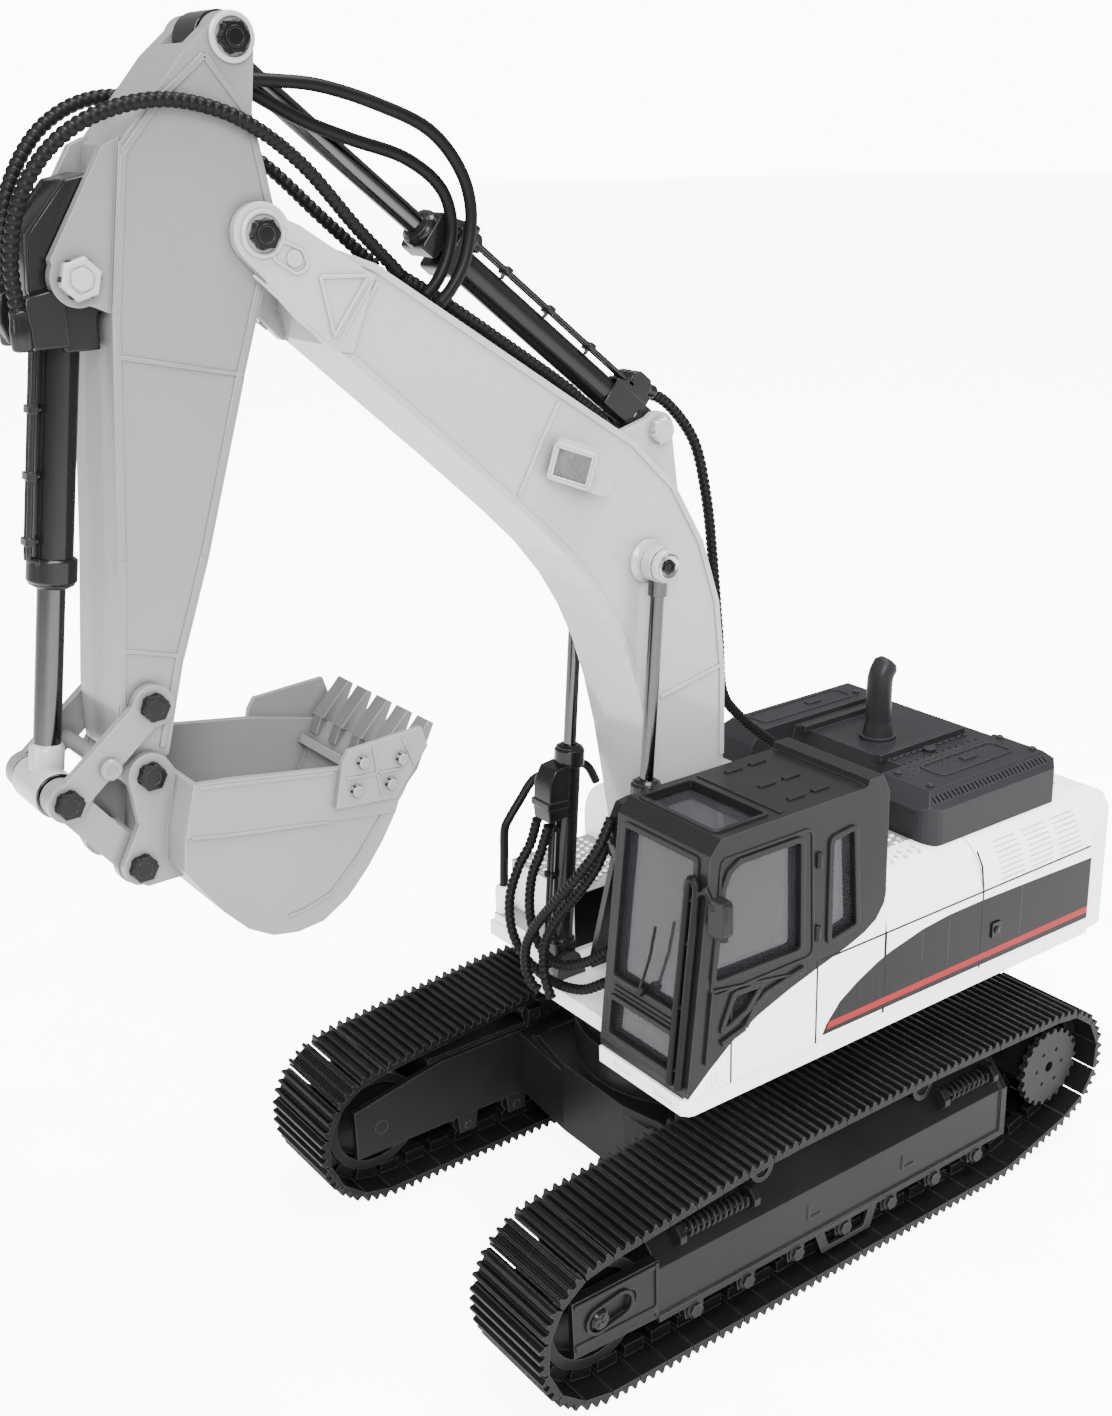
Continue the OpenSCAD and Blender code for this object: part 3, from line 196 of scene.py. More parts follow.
def paint(name, colour, rough, metal=0.0, coat=0.0, grain=400.0, bump=0.15, vary=0.06, wear_and_highlight_edge=None,
          wear_and_highlight_gain=4.0, stretch=(1, 1, 1), round_mm=0.35, corner_shade=0.0, black_above=None,
          grey_top=None, **sockets):
    """A coat of paint or a moulded skin: cloudy colour, fine grain in its bump, lighter edges that are
    partly wear and partly painted highlight, and painted shade that darkens its corners.
    """
    n = Nodes(name)
    place = n.add("ShaderNodeTexCoord")
    scale = n.add("ShaderNodeMapping")
    scale.inputs["Scale"].default_value = stretch
    n.link(place.outputs["Object"], scale.inputs["Vector"])
    cloud = n.add("ShaderNodeTexNoise", Scale=22.0, Detail=5.0, Roughness=0.6)
    fine = n.add("ShaderNodeTexNoise", Scale=grain, Detail=3.0)
    for noise in (cloud, fine):
        n.link(scale.outputs["Vector"], noise.inputs["Vector"])
    tone = n.spread(cloud.outputs["Fac"], 1 - vary, 1 + vary, start=0.3, end=0.7)
    body = n.add("ShaderNodeVectorMath", operation="SCALE")
    body.inputs[0].default_value = colour
    n.link(tone, body.inputs["Scale"])
    result = body.outputs["Vector"]
    soft = n.add("ShaderNodeBevel", samples=4, Radius=round_mm * MM)
    # The edge colour is laid on the rims: partly wear, partly painted highlight.
    if wear_and_highlight_edge is not None:
        facet = n.add("ShaderNodeNewGeometry")
        wide = n.add("ShaderNodeBevel", samples=4, Radius=1.6 * round_mm * MM)
        dot = n.add("ShaderNodeVectorMath", operation="DOT_PRODUCT")
        n.link(wide.outputs["Normal"], dot.inputs[0])
        n.link(facet.outputs["Normal"], dot.inputs[1])
        # Mask of the rims: it carries wear and painted highlight alike.
        worn = n.add("ShaderNodeMath", operation="SUBTRACT", use_clamp=True)
        worn.inputs[0].default_value = 1.0
        n.link(dot.outputs["Value"], worn.inputs[1])
        patchy = n.add("ShaderNodeMath", operation="MULTIPLY")
        n.link(worn.outputs["Value"], patchy.inputs[0])
        n.link(cloud.outputs["Fac"], patchy.inputs[1])
        gain = n.add("ShaderNodeMath", operation="MULTIPLY", use_clamp=True)
        n.link(patchy.outputs["Value"], gain.inputs[0])
        gain.inputs[1].default_value = wear_and_highlight_gain
        result = n.over(gain.outputs["Value"], result, wear_and_highlight_edge)
    if grey_top is not None:
        result = n.over(n.higher("True Normal", TOP_NORMAL), result, grey_top)
    if black_above is not None:
        result = n.over(n.higher("Position", black_above * MM), result, BLACK)
    # Painted shade: the colour is darkened where ambient occlusion finds corners, creases and parts close
    # together.
    if corner_shade:
        corner = n.add("ShaderNodeAmbientOcclusion", samples=4, Distance=3.5 * MM)
        darker = n.add("ShaderNodeVectorMath", operation="SCALE")
        n.link(result, darker.inputs[0])
        n.link(n.spread(corner.outputs["AO"], 1 - corner_shade, 1.0), darker.inputs["Scale"])
        result = darker.outputs["Vector"]
    n.link(result, n.bsdf.inputs["Base Color"])
    n.link(n.spread(cloud.outputs["Fac"], rough * 0.85, rough * 1.15), n.bsdf.inputs["Roughness"])
    relief = n.add("ShaderNodeBump", Strength=bump, Distance=0.0002)
    n.link(fine.outputs["Fac"], relief.inputs["Height"])
    n.link(soft.outputs["Normal"], relief.inputs["Normal"])
    n.link(relief.outputs["Normal"], n.bsdf.inputs["Normal"])
    n.bsdf.inputs["Metallic"].default_value = metal
    n.bsdf.inputs["Coat Weight"].default_value = coat
    for key, value in sockets.items():
        n.bsdf.inputs[key.replace("_", " ")].default_value = value
    return n.mat


def clear(name, tint, cover, rough=0.05):
    """A clear pane: light goes straight through what its own tint doesn't cover."""
    n = Nodes(name)
    smear = n.add("ShaderNodeTexNoise", Scale=60.0, Detail=2.0)
    n.link(n.spread(smear.outputs["Fac"], rough, rough * 2.5), n.bsdf.inputs["Roughness"])
    wave = n.add("ShaderNodeBump", Strength=0.01, Distance=0.0001)
    n.link(smear.outputs["Fac"], wave.inputs["Height"])
    n.link(wave.outputs["Normal"], n.bsdf.inputs["Normal"])
    n.link(n.spread(smear.outputs["Fac"], cover * 0.9, cover * 1.1), n.bsdf.inputs["Alpha"])
    n.bsdf.inputs["Base Color"].default_value = (*tint, 1)
    return n.mat


DEEP = {"Specular_IOR_Level": 0.11}  # dark parts mirror little
# The second colour is the edge colour of the black parts: partly wear, partly painted highlight.
WHITE, WORN_AND_LIT_EDGE = (0.84, 0.85, 0.845), (0.09, 0.09, 0.09)
# In these looks the darkening of corners is painted shade, and the edge colours are partly wear and partly
# painted highlight.
LOOKS = {
    "shell": paint("white_shell", WHITE, 0.22, coat=0.25, bump=0.04, vary=0.015, corner_shade=0.4),
    "base": paint("base_paint", WHITE, 0.28, bump=0.04, vary=0.015, corner_shade=0.4, black_above=94.3),
    "deck": paint("deck_paint", WHITE, 0.24, coat=0.2, bump=0.04, vary=0.015, corner_shade=0.4,
                  grey_top=(0.17, 0.17, 0.173)),
    "arm": paint("white_arm", (0.265, 0.27, 0.278), 0.27, coat=0.35, bump=0.08, vary=0.03,
                 wear_and_highlight_edge=(0.5, 0.5, 0.5), wear_and_highlight_gain=2.5, corner_shade=0.55),
    # The stick, levers and link have the boom's paint; this copy is darker to paint the shade that falls on
    # them.
    "shaded_arm": paint("arm_paint_shaded", (0.132, 0.134, 0.139), 0.3, coat=0.2, bump=0.14, vary=0.03,
                      wear_and_highlight_edge=(0.36, 0.36, 0.36), wear_and_highlight_gain=3.0, corner_shade=0.55),
    "bucket": paint("grey_bucket", (0.148, 0.149, 0.146), 0.4, bump=0.3, vary=0.05, wear_and_highlight_edge=(0.36, 0.36, 0.35),
                    wear_and_highlight_gain=3.5, corner_shade=0.5),
    # The teeth are darker than the bucket paint to paint the shade on their tops.
    "teeth": paint("tooth_paint_shaded", (0.085, 0.085, 0.084), 0.4, bump=0.3, vary=0.06, wear_and_highlight_edge=(0.34, 0.34, 0.33),
                   wear_and_highlight_gain=4.0),
    "cab": paint("black_cab", (0.008, 0.008, 0.0085), 0.26, grain=900.0, bump=0.04, vary=0.12,
                 wear_and_highlight_edge=(0.06, 0.06, 0.06), wear_and_highlight_gain=2.5, round_mm=0.4, **DEEP),
    "hood": paint("black_hood", (0.013, 0.013, 0.0145), 0.38, grain=700.0, bump=0.12, vary=0.12,
                  wear_and_highlight_edge=WORN_AND_LIT_EDGE, wear_and_highlight_gain=2.5, **DEEP),
    "frame": paint("black_frame", (0.006, 0.006, 0.0063), 0.36, bump=0.12, vary=0.2, wear_and_highlight_edge=WORN_AND_LIT_EDGE,
                   wear_and_highlight_gain=3.0, **DEEP),
    "track": paint("black_track", (0.0045, 0.0043, 0.0042), 0.38, bump=0.25, vary=0.3,
                   wear_and_highlight_edge=(0.09, 0.088, 0.086), wear_and_highlight_gain=3.0, round_mm=0.25, **DEEP),
    "wheel": paint("black_wheel", (0.006, 0.006, 0.0063), 0.34, bump=0.15, vary=0.2, wear_and_highlight_edge=WORN_AND_LIT_EDGE,
                   wear_and_highlight_gain=3.5, **DEEP),
    "barrel": paint("black_barrel", (0.0055, 0.0055, 0.006), 0.2, coat=0.04, bump=0.05, vary=0.1,
                    wear_and_highlight_edge=(0.06, 0.06, 0.06), wear_and_highlight_gain=3.0, Specular_IOR_Level=0.22),
    "bolt": paint("black_bolt", (0.004, 0.004, 0.0042), 0.22, bump=0.1, vary=0.2, wear_and_highlight_edge=(0.05, 0.05, 0.05),
                  wear_and_highlight_gain=2.0, round_mm=0.2, Specular_IOR_Level=0.15),
    "chrome": paint("chrome_rod", (0.075, 0.075, 0.078), 0.18, metal=1.0, grain=300.0, bump=0.04, vary=0.04,
                    stretch=(1, 6, 6)),
    "steel": paint("bright_steel", (0.4, 0.4, 0.4), 0.25, metal=1.0, bump=0.1, vary=0.08),
    "rubber": paint("hose_rubber", (0.0035, 0.0035, 0.0038), 0.42, grain=900.0, bump=0.25, vary=0.2,
                    **DEEP),
    "trim": paint("black_trim", (0.004, 0.004, 0.004), 0.38, bump=0.12, vary=0.15, wear_and_highlight_edge=(0.04, 0.04, 0.04),
                  wear_and_highlight_gain=2.0, **DEEP),
    "band": paint("dark_band", (0.006, 0.0057, 0.0066), 0.24, bump=0.03, vary=0.08, **DEEP),
    "stripe": paint("red_stripe", (0.2, 0.008, 0.01), 0.3, bump=0.03, vary=0.06, **DEEP),
    "seat": paint("seat_moulding", (0.012, 0.012, 0.013), 0.55, grain=900.0, bump=0.3, vary=0.2, **DEEP),
    "battery": paint("battery_wrap", (0.06, 0.12, 0.4), 0.3, bump=0.1, vary=0.08),
    "board": paint("board_lacquer", (0.02, 0.14, 0.05), 0.3, grain=1200.0, bump=0.3, vary=0.2),
    "brass": paint("pinion_brass", (0.6, 0.42, 0.16), 0.3, metal=1.0, bump=0.1, vary=0.08),
    "glass": clear("cab_panes", (0.02, 0.0205, 0.023), 0.66),
    "lens": clear("lamp_lens", (0.1, 0.1, 0.1), 0.45),
}
NODE_LOOK = {
    "shell": "left_panels counterweight",
    "base": "house_base",
    "deck": "upper_deck",
    "arm": "boom",
    # The stick, levers and link take the darker copy of the arm paint, which is painted shade.
    "shaded_arm": "stick bell_cranks bucket_link",
    "bucket": "bucket side_cutters",
    "teeth": "bucket_teeth",
    "cab": "cab_shell",
    "hood": "engine_hood exhaust_stack",
    "frame": "chassis left_track_frame right_track_frame slew_ring",
    "track": "left_track_belt right_track_belt",
    "wheel": "left_sprocket right_sprocket left_idler right_idler frame_springs",
    "barrel": "boom_barrels stick_barrel bucket_barrel",
    "bolt": "house_pins boom_pins stick_pins crank_pin bucket_pin",
    "chrome": "boom_rods stick_rod bucket_rod",
    "steel": "swing_gearmotor track_gearmotors",
    "trim": "deck_handrail cab_rails",
    "seat": "cab_seat",
    "battery": "battery_pack",
    "board": "control_board",
    "brass": "swing_pinion",
    "glass": "cab_glass",
    "rubber": "boom_cylinder_hoses boom_top_hoses stick_loop_hoses stick_feed_hoses",
}


def dress_frame():
    looks = {node: look for look, nodes in NODE_LOOK.items() for node in nodes.split()}
    for name, node in frame["nodes"].items():
        look = looks.get(name, "wheel" if "rollers" in name else "arm")
        for slot in node.material_slots:
            slot.material = LOOKS[look]


# ---------------------------------------------------------------- mesh building
def side(y, sign=1):
    """Outlines in X-Z laid on a wall that faces +Y (or -Y), raised away from it by t."""
    return lambda p, t: at(p[0], sign * (y + t), p[1])


def arc(c, r, a, b, n):
    return [(c[0] + r * math.cos(math.radians(a + (b - a) * i / n)),
             c[1] + r * math.sin(math.radians(a + (b - a) * i / n))) for i in range(n + 1)]


def box(x0, x1, y0, y1):
    """The corners of an upright rectangle."""
    return [(x0, y0), (x1, y0), (x1, y1), (x0, y1)]


def rounded(points, r, n=5):
    """A closed outline with its corners rounded to radius r."""
    out = []
    count = len(points)
    for i, p in enumerate(points):
        a = Vector(points[i - 1]) - Vector(p)
        b = Vector(points[(i + 1) % count]) - Vector(p)
        angle = a.angle(b)
        cut = min(r / math.tan(angle / 2), 0.45 * a.length, 0.45 * b.length)
        start, end = Vector(p) + a.normalized() * cut, Vector(p) + b.normalized() * cut
        for k in range(n + 1):
            t = k / n
            out.append(tuple((1 - t) ** 2 * start + 2 * t * (1 - t) * Vector(p) + t * t * end))
    return out


def shrink(points, d):
    """A closed anticlockwise outline moved in by d."""
    out = []
    count = len(points)
    for i, p in enumerate(points):
        a = (Vector(p) - Vector(points[i - 1])).normalized()
        b = (Vector(points[(i + 1) % count]) - Vector(p)).normalized()
        na, nb = Vector((-a.y, a.x)), Vector((-b.y, b.x))
        out.append(tuple(Vector(p) + (na + nb) * (d / max(0.35, 1 + na.dot(nb)))))
    return out


def smooth_route(points, step):
    """Points every step mm along a smooth curve through the given ones."""
    pts = [Vector(p) for p in points]
    pts = [2 * pts[0] - pts[1]] + pts + [2 * pts[-1] - pts[-2]]
    fine = []
    for i in range(1, len(pts) - 2):
        a, b, c, d = pts[i - 1:i + 3]
        for k in range(24):
            t = k / 24
            fine.append(0.5 * (2 * b + (c - a) * t + (2 * a - 5 * b + 4 * c - d) * t * t
                               + (3 * b - a - 3 * c + d) * t ** 3))
    fine.append(pts[-2])
    out, left = [fine[0]], step
    for a, b in zip(fine, fine[1:]):
        length = (b - a).length
        while length >= left:
            a = a + (b - a).normalized() * left
            length -= left
            left = step
            out.append(a)
        left -= length
    return out


class Piece:
    """Gathers shapes of one material into one object that rides on one body."""

    def __init__(self, name, look):
        self.name, self.look, self.verts, self.faces = name, look, [], []

    def add(self, verts, faces):
        base = len(self.verts)
        self.verts += verts
        self.faces += [[base + i for i in f] for f in faces]

    def plate(self, outline, place, t0, t1, inner=None):
        """A flat plate of the outline between heights t0 and t1, with a matching inner outline cut out."""
        n = len(outline)
        loops = [[place(p, t) for p in line] for line in ((outline, inner) if inner else (outline,))
                 for t in (t0, t1)]
        verts = [v for loop in loops for v in loop]
        ring = [(i, (i + 1) % n) for i in range(n)]
        faces = [[i, j, n + j, n + i] for i, j in ring]
        if inner:
            faces += [[2 * n + i, 3 * n + i, 3 * n + j, 2 * n + j] for i, j in ring]
            faces += [[i, 2 * n + i, 2 * n + j, j] for i, j in ring]
            faces += [[n + i, n + j, 3 * n + j, 3 * n + i] for i, j in ring]
        else:
            faces += [list(range(n))[::-1], list(range(n, 2 * n))]
        self.add(verts, faces)

    def bar(self, a, b, width, place, t0, t1):
        """A straight strip from a to b on a wall."""
        a, b = Vector(a), Vector(b)
        d = (b - a).normalized() * (width / 2)
        n = Vector((-d.y, d.x))
        self.plate([tuple(p) for p in (a - n, b - n, b + n, a + n)], place, t0, t1)

    def turned(self, centre, axis, profile, sides=28, twist=0.0):
        """A turned shape about an axis: profile is (radius, height) from the base up, in mm."""
        axis = Vector(axis).normalized()
        u = axis.orthogonal().normalized()
        w = axis.cross(u)
        verts = [centre + axis * (h * MM) + (u * math.cos(t) + w * math.sin(t)) * (r * MM)
                 for r, h in profile for t in [2 * math.pi * k / sides + twist for k in range(sides)]]
        faces = [[r * sides + k, r * sides + (k + 1) % sides, (r + 1) * sides + (k + 1) % sides,
                  (r + 1) * sides + k] for r in range(len(profile) - 1) for k in range(sides)]
        faces += [list(range(sides))[::-1], [(len(profile) - 1) * sides + k for k in range(sides)]]
        self.add(verts, faces)

    def tube(self, points, radius, sides=12):
        """A tube along points in metres; radius is a number or a function of the point's number, in mm."""
        pts = [Vector(p) for p in points]
        size = radius if callable(radius) else (lambda i: radius)
        frame_up = (pts[1] - pts[0]).orthogonal().normalized()
        verts = []
        for i, p in enumerate(pts):
            along = (pts[min(i + 1, len(pts) - 1)] - pts[max(i - 1, 0)]).normalized()
            frame_up = (frame_up - along * frame_up.dot(along)).normalized()
            across = along.cross(frame_up)
            verts += [p + (frame_up * math.cos(t) + across * math.sin(t)) * (size(i) * MM)
                      for t in [2 * math.pi * k / sides for k in range(sides)]]
        faces = [[i * sides + k, i * sides + (k + 1) % sides, (i + 1) * sides + (k + 1) % sides,
                  (i + 1) * sides + k] for i in range(len(pts) - 1) for k in range(sides)]
        faces += [list(range(sides))[::-1], [(len(pts) - 1) * sides + k for k in range(sides)]]
        self.add(verts, faces)

    def bolt(self, centre, axis, r, h):
        """A chamfered hexagon head with a round rim on it and a hollow in the middle."""
        self.turned(centre, axis, [(r, -0.1), (r, h - 0.7), (r * 0.86, h)], 6)
        self.turned(centre, axis, [(r * 0.84, h - 0.1), (r * 0.84, h + 0.1), (r * 0.72, h + 0.15)], 28)
        self.turned(centre, axis, [(r * 0.62, h - 0.1), (r * 0.62, h + 0.25), (r * 0.5, h + 0.3),
                                   (r * 0.46, h - 0.2), (0.02, h - 0.2)], 24)

    def mesh(self, bevel=0.0):
        data = bpy.data.meshes.new(self.name)
        data.from_pydata([tuple(v) for v in self.verts], [], self.faces)
        data.materials.append(LOOKS[self.look])
        data.validate()
        obj = bpy.data.objects.new(self.name, data)
        bpy.context.collection.objects.link(obj)
        for poly in data.polygons:
            poly.use_smooth = True
        data.set_sharp_from_angle(angle=math.radians(SHARP_ANGLE))
        if bevel:
            mod = obj.modifiers.new("bevel", "BEVEL")
            mod.width, mod.segments, mod.limit_method = bevel * MM, 2, "ANGLE"
        return obj

    def on(self, body, bevel=0.0):
        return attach(self.mesh(bevel), body)


def both_sides():
    return ((1, "left"), (-1, "right"))


# ---------------------------------------------------------------- hoses
LOOP_LEFT = [(249, 12, 374), (249.5, 13, 390), (246, 15, 405), (238, 17, 417), (226, 18, 425),
             (210, 18, 429), (195, 18, 428), (179, 18, 422), (161, 14, 410), (143, 10, 392), (127, 7, 377)]
LOOP_RIGHT = [(244, -12, 372), (243, -14, 390), (237, -16, 409), (224, -18, 424), (206, -18, 430.5),
              (182, -18, 426), (160, -15, 411), (143, -11, 394), (127, -7, 378)]
TOP_RUN = [(126, 7, 376), (109, 7, 365.5), (90, 7, 352.6), (66, 6.4, 336.2), (55, 4.6, 328),
           (45, 3.4, 320.6)]
DOWN_RUN = [(26, 0, 328), (13, -1, 322), (-1, -2, 306), (-8, -3, 284), (-14, -6, 259), (-20, -9, 225),
            (-25, -12, 200), (-36, -14, 186), (-52, -15, 172), (-70, -15, 158), (-78, -15, 151)]
FEED_HIGH = [(175, 11, 434), (166, 11, 433.5), (153, 11.5, 432), (136, 12.5, 427), (118, 13.5, 419),
             (107.5, 14, 407), (104, 14, 394), (107, 14, 380), (112.5, 13.8, 371.5), (118, 13.6, 366.5)]
FEED_LOW = [(173, 6.6, 431), (158, 7.4, 423), (142, 8, 417), (124, 8.6, 411), (112, 9.2, 402),
            (108.5, 9.5, 391), (111, 9.5, 380), (116, 9.6, 372.5), (121, 9.6, 368.5)]
CYL_HOSES = [
    [(57, -28, 161), (58.5, -31, 150), (62.5, -33.5, 141), (66, -35.5, 128), (66.5, -35, 115),
     (65, -31, 105), (64, -22, 100), (64, -8, 99.6), (62.5, 7, 103), (59, 18, 110)],
    [(56, -22, 160), (58.5, -24.5, 148), (61, -27, 138), (62, -28, 125), (61.5, -26, 113.5),
     (61.5, -18.5, 107), (62.5, -6, 108), (61, 8, 115), (58, 19, 124)],
    [(58, 20.5, 178), (63, 19, 167), (67.5, 12.5, 155), (70, 3, 143), (71.5, -8, 129.5), (72, -16, 117),
     (72, -17.5, 106), (71, -15, 99), (69, -13, 96.4)],
    [(57, 17, 168), (60, 14, 157), (63, 7, 145), (65.5, -2, 133), (67, -9, 121), (68, -11, 111),
     (70, -7, 103), (69, -5, 96.4)],
]


def hose(name, route, r, ribbed=True):
    piece = Piece(name, "rubber")
    pts = [at(*p) for p in smooth_route(route, 0.48 if ribbed else 2.5)]
    ribs = (r, r, r - 0.12, r - 0.42, r - 0.12)
    piece.tube(pts, (lambda i: ribs[i % 5]) if ribbed else r, 12)
    return piece.mesh()


def hoses():
    for name, route in (("loop_left", LOOP_LEFT), ("loop_right", LOOP_RIGHT)):
        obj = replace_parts(hose(name, route, 2.2), "stick_loop_hoses")
        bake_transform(obj)
    for name, route in (("feed_high", FEED_HIGH), ("feed_low", FEED_LOW)):
        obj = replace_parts(hose(name, route, 2.0, False), "stick_feed_hoses")
        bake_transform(obj)
    for sign, name in both_sides():
        route = [(x, sign * y, z) for x, y, z in TOP_RUN]
        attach(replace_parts(hose("top_run_" + name, route, 2.2), "boom_top_hoses"), "boom")
    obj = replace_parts(hose("down_run", DOWN_RUN, 2.2), "boom_top_hoses")
    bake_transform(obj)
    for i, route in enumerate(CYL_HOSES):
        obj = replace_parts(hose("cylinder_hose_%d" % (i + 1), route, 2.1), "boom_cylinder_hoses")
        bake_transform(obj)


# ---------------------------------------------------------------- arm
def boom_details():
    trim = Piece("boom_seams", "arm")
    fork = Piece("boom_fork_ribs", "arm")
    for sign, _ in both_sides():
        wall = side(BOOM_WALL, sign)
        for a, b in (((140.5, 376), (154, 358)), ((74, 332), (91.5, 303)), ((31, 218), (2, 224))):
            trim.bar(a, b, 1.5, wall, -0.2, 0.7)
        plate = side(FORK_WALL, sign)
        for a, b in (((160.6, 379.2), (145.6, 378.4)), ((160.6, 379.2), (157.4, 362.4)),
                     ((145, 377.4), (157.6, 361.4))):
            fork.bar(a, b, 1.2, plate, -0.3, 0.7)
        fork.bar((142.9, 376.4), (156, 359.4), 0.9, plate, -0.3, 0.4)
        boss = rounded([(173.4, 391.4), (165.4, 387.4), (163.6, 382.2), (168, 379.8), (176.6, 385.6)], 3)
        fork.plate(boss, plate, -0.2, 0.7, shrink(boss, 0.9))
        fork.turned(at(168.6, sign * FORK_WALL, 385), (0, sign, 0),
                    [(2.6, -0.2), (2.6, 0.5), (2.0, 0.8), (1.4, 0.5), (0.1, 0.2)], 28)
        for a, b in (((183, 380.6), (175.6, 373.4)), ((175.6, 373.4), (170.6, 367.4)),
                     ((170.6, 367.4), (162, 360))):
            fork.bar((a[0] - 1, a[1] + 0.8), (b[0] - 1, b[1] + 0.8), 0.8, plate, -0.3, 0.4)
        fork.turned(at(TIP[0], sign * FORK_WALL, TIP[1]), (0, sign, 0),
                    [(7.0, -0.2), (7.0, 0.6), (6.4, 1.0), (5.6, 1.0), (5.3, 0.3), (0.1, 0.3)], 40)
    trim.on("boom", 0.25)
    fork.on("boom", 0.25)
    collar = Piece("boom_cylinder_collars", "arm")
    ring = Piece("boom_cylinder_rings", "steel")
    nuts = Piece("boom_cylinder_caps", "bolt")
    for sign, _ in both_sides():
        out = (0, sign, 0)
        collar.turned(at(BOOM_EYE[0], sign * BOOM_WALL, BOOM_EYE[1]), out,
                      [(8, -0.2), (8, 1.2), (7.2, 2.0), (6.2, 2.6), (6.2, 3.9)], 36)
        collar.turned(at(BOOM_EYE[0], sign * 26.6, BOOM_EYE[1]), out,
                      [(6.2, 0), (6.2, 1.2), (5.6, 2.2), (5.2, 2.3)], 36)
        ring.turned(at(BOOM_EYE[0], sign * 28.4, BOOM_EYE[1]), out,
                    [(4.7, 0), (4.7, 0.9), (4.1, 1.1), (3.4, 0.7), (0.1, 0.7)], 36)
        nuts.turned(at(BOOM_EYE[0], sign * 28.9, BOOM_EYE[1]), out,
                    [(2.7, 0), (2.7, 0.7), (1.6, 0.9), (1.3, 0.3), (0.1, 0.3)], 6)
    collar.on("boom")
    ring.on("boom")
    nuts.on("boom")


def lamp():
    """A square lamp on a stub arm, turned outwards and forwards from the side of the boom."""
    out = Vector((0.74, 0.66, -0.12)).normalized()
    across = Vector((0, 0, 1)).cross(out).normalized()
    up = out.cross(across)
    across, up = across * 0.957 - up * 0.29, up * 0.957 + across * 0.29
    centre = at(76.5, 26.6, 312)

    def face(p, t):
        return centre + (across * p[0] + up * p[1] + out * t) * MM

    shell = Piece("work_lamp_shell", "arm")
    outer = rounded(box(-7.6, 7.6, -6.8, 6.8), 2)
    inner = shrink(outer, 1.2)
    shell.plate(outer, face, -5.5, 0.4, inner)
    shell.plate(shrink(outer, 0.6), face, -7, -5.4)
    shell.turned(face((3, 0), -3), face((5, 0), -8) - face((3, 0), 0),
                 [(5.6, -1), (5.8, 1), (4.8, 3.4), (3.2, 4.4)], 24)
    shell.tube([face((0, 0), -6), at(70, 19.4, 311.5), at(69.5, 16.4, 311.5)], 3.2, 16)
    shell.plate(rounded([(71, 316.5), (62, 314.5), (57, 308), (58, 301), (61.5, 298.6), (73, 304)], 3.5),
                side(0), 16.4, 24.6)
    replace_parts(shell.on("boom", 0.3), "work_lamp")
    mirror = Piece("work_lamp_reflector", "steel")
    mirror.turned(face((0, 0), -5.2), out, [(1.4, 0.2), (3.4, 1), (5, 3.4), (4.8, 3.4), (0.1, 1.2)], 28)
    mirror.plate(inner, face, -0.9, -0.1, shrink(inner, 0.7))
    mirror.on("boom")
    lens = Piece("work_lamp_lens", "lens")
    lens.plate(shrink(inner, 0.7), face, -0.8, -0.2)
    for k in range(-2, 3):
        lens.plate(box(k * 2.1 - 0.3, k * 2.1 + 0.3, -4, 4), face, -0.3, 0.05)
    lens.on("boom")


def stick_details():
    # The stick's seams are in the darker copy of the arm paint, which is painted shade.
    trim = Piece("stick_seams", "shaded_arm")
    front = [(234.6, 250), (234, 262), (229, 305), (222.6, 373), (215.8, 416), (204, 429.2), (189.5, 440.5)]
    back = [(223.4, 246), (215, 273), (204, 302), (187.6, 353), (178.6, 378.6), (173.4, 398), (177.4, 424),
            (189.5, 440.5)]
    for sign, _ in both_sides():
        wall = side(STICK_WALL, sign)
        for line in (front, back):
            for a, b in zip(line, line[1:]):
                trim.bar(a, b, 2.0, wall, -0.2, 0.45)
        trim.bar((223, 362), (186, 353), 1.3, wall, -0.2, 0.5)
        trim.bar((231.4, 278), (214.4, 273), 1.3, wall, -0.2, 0.5)
    trim.on("stick", 0.25)
    # The studs are in the darker copy of the arm paint, which is painted shade.
    stud = Piece("lever_studs", "shaded_arm")
    for sign, _ in both_sides():
        stud.turned(at(241.4, sign * 18, 244.9), (0, sign, 0),
                    [(3.3, -0.1), (3.3, 1.6), (2.7, 2.2), (1.9, 2.2), (1.7, 1.8), (0.1, 1.8)], 28)
    stud.on("lever")


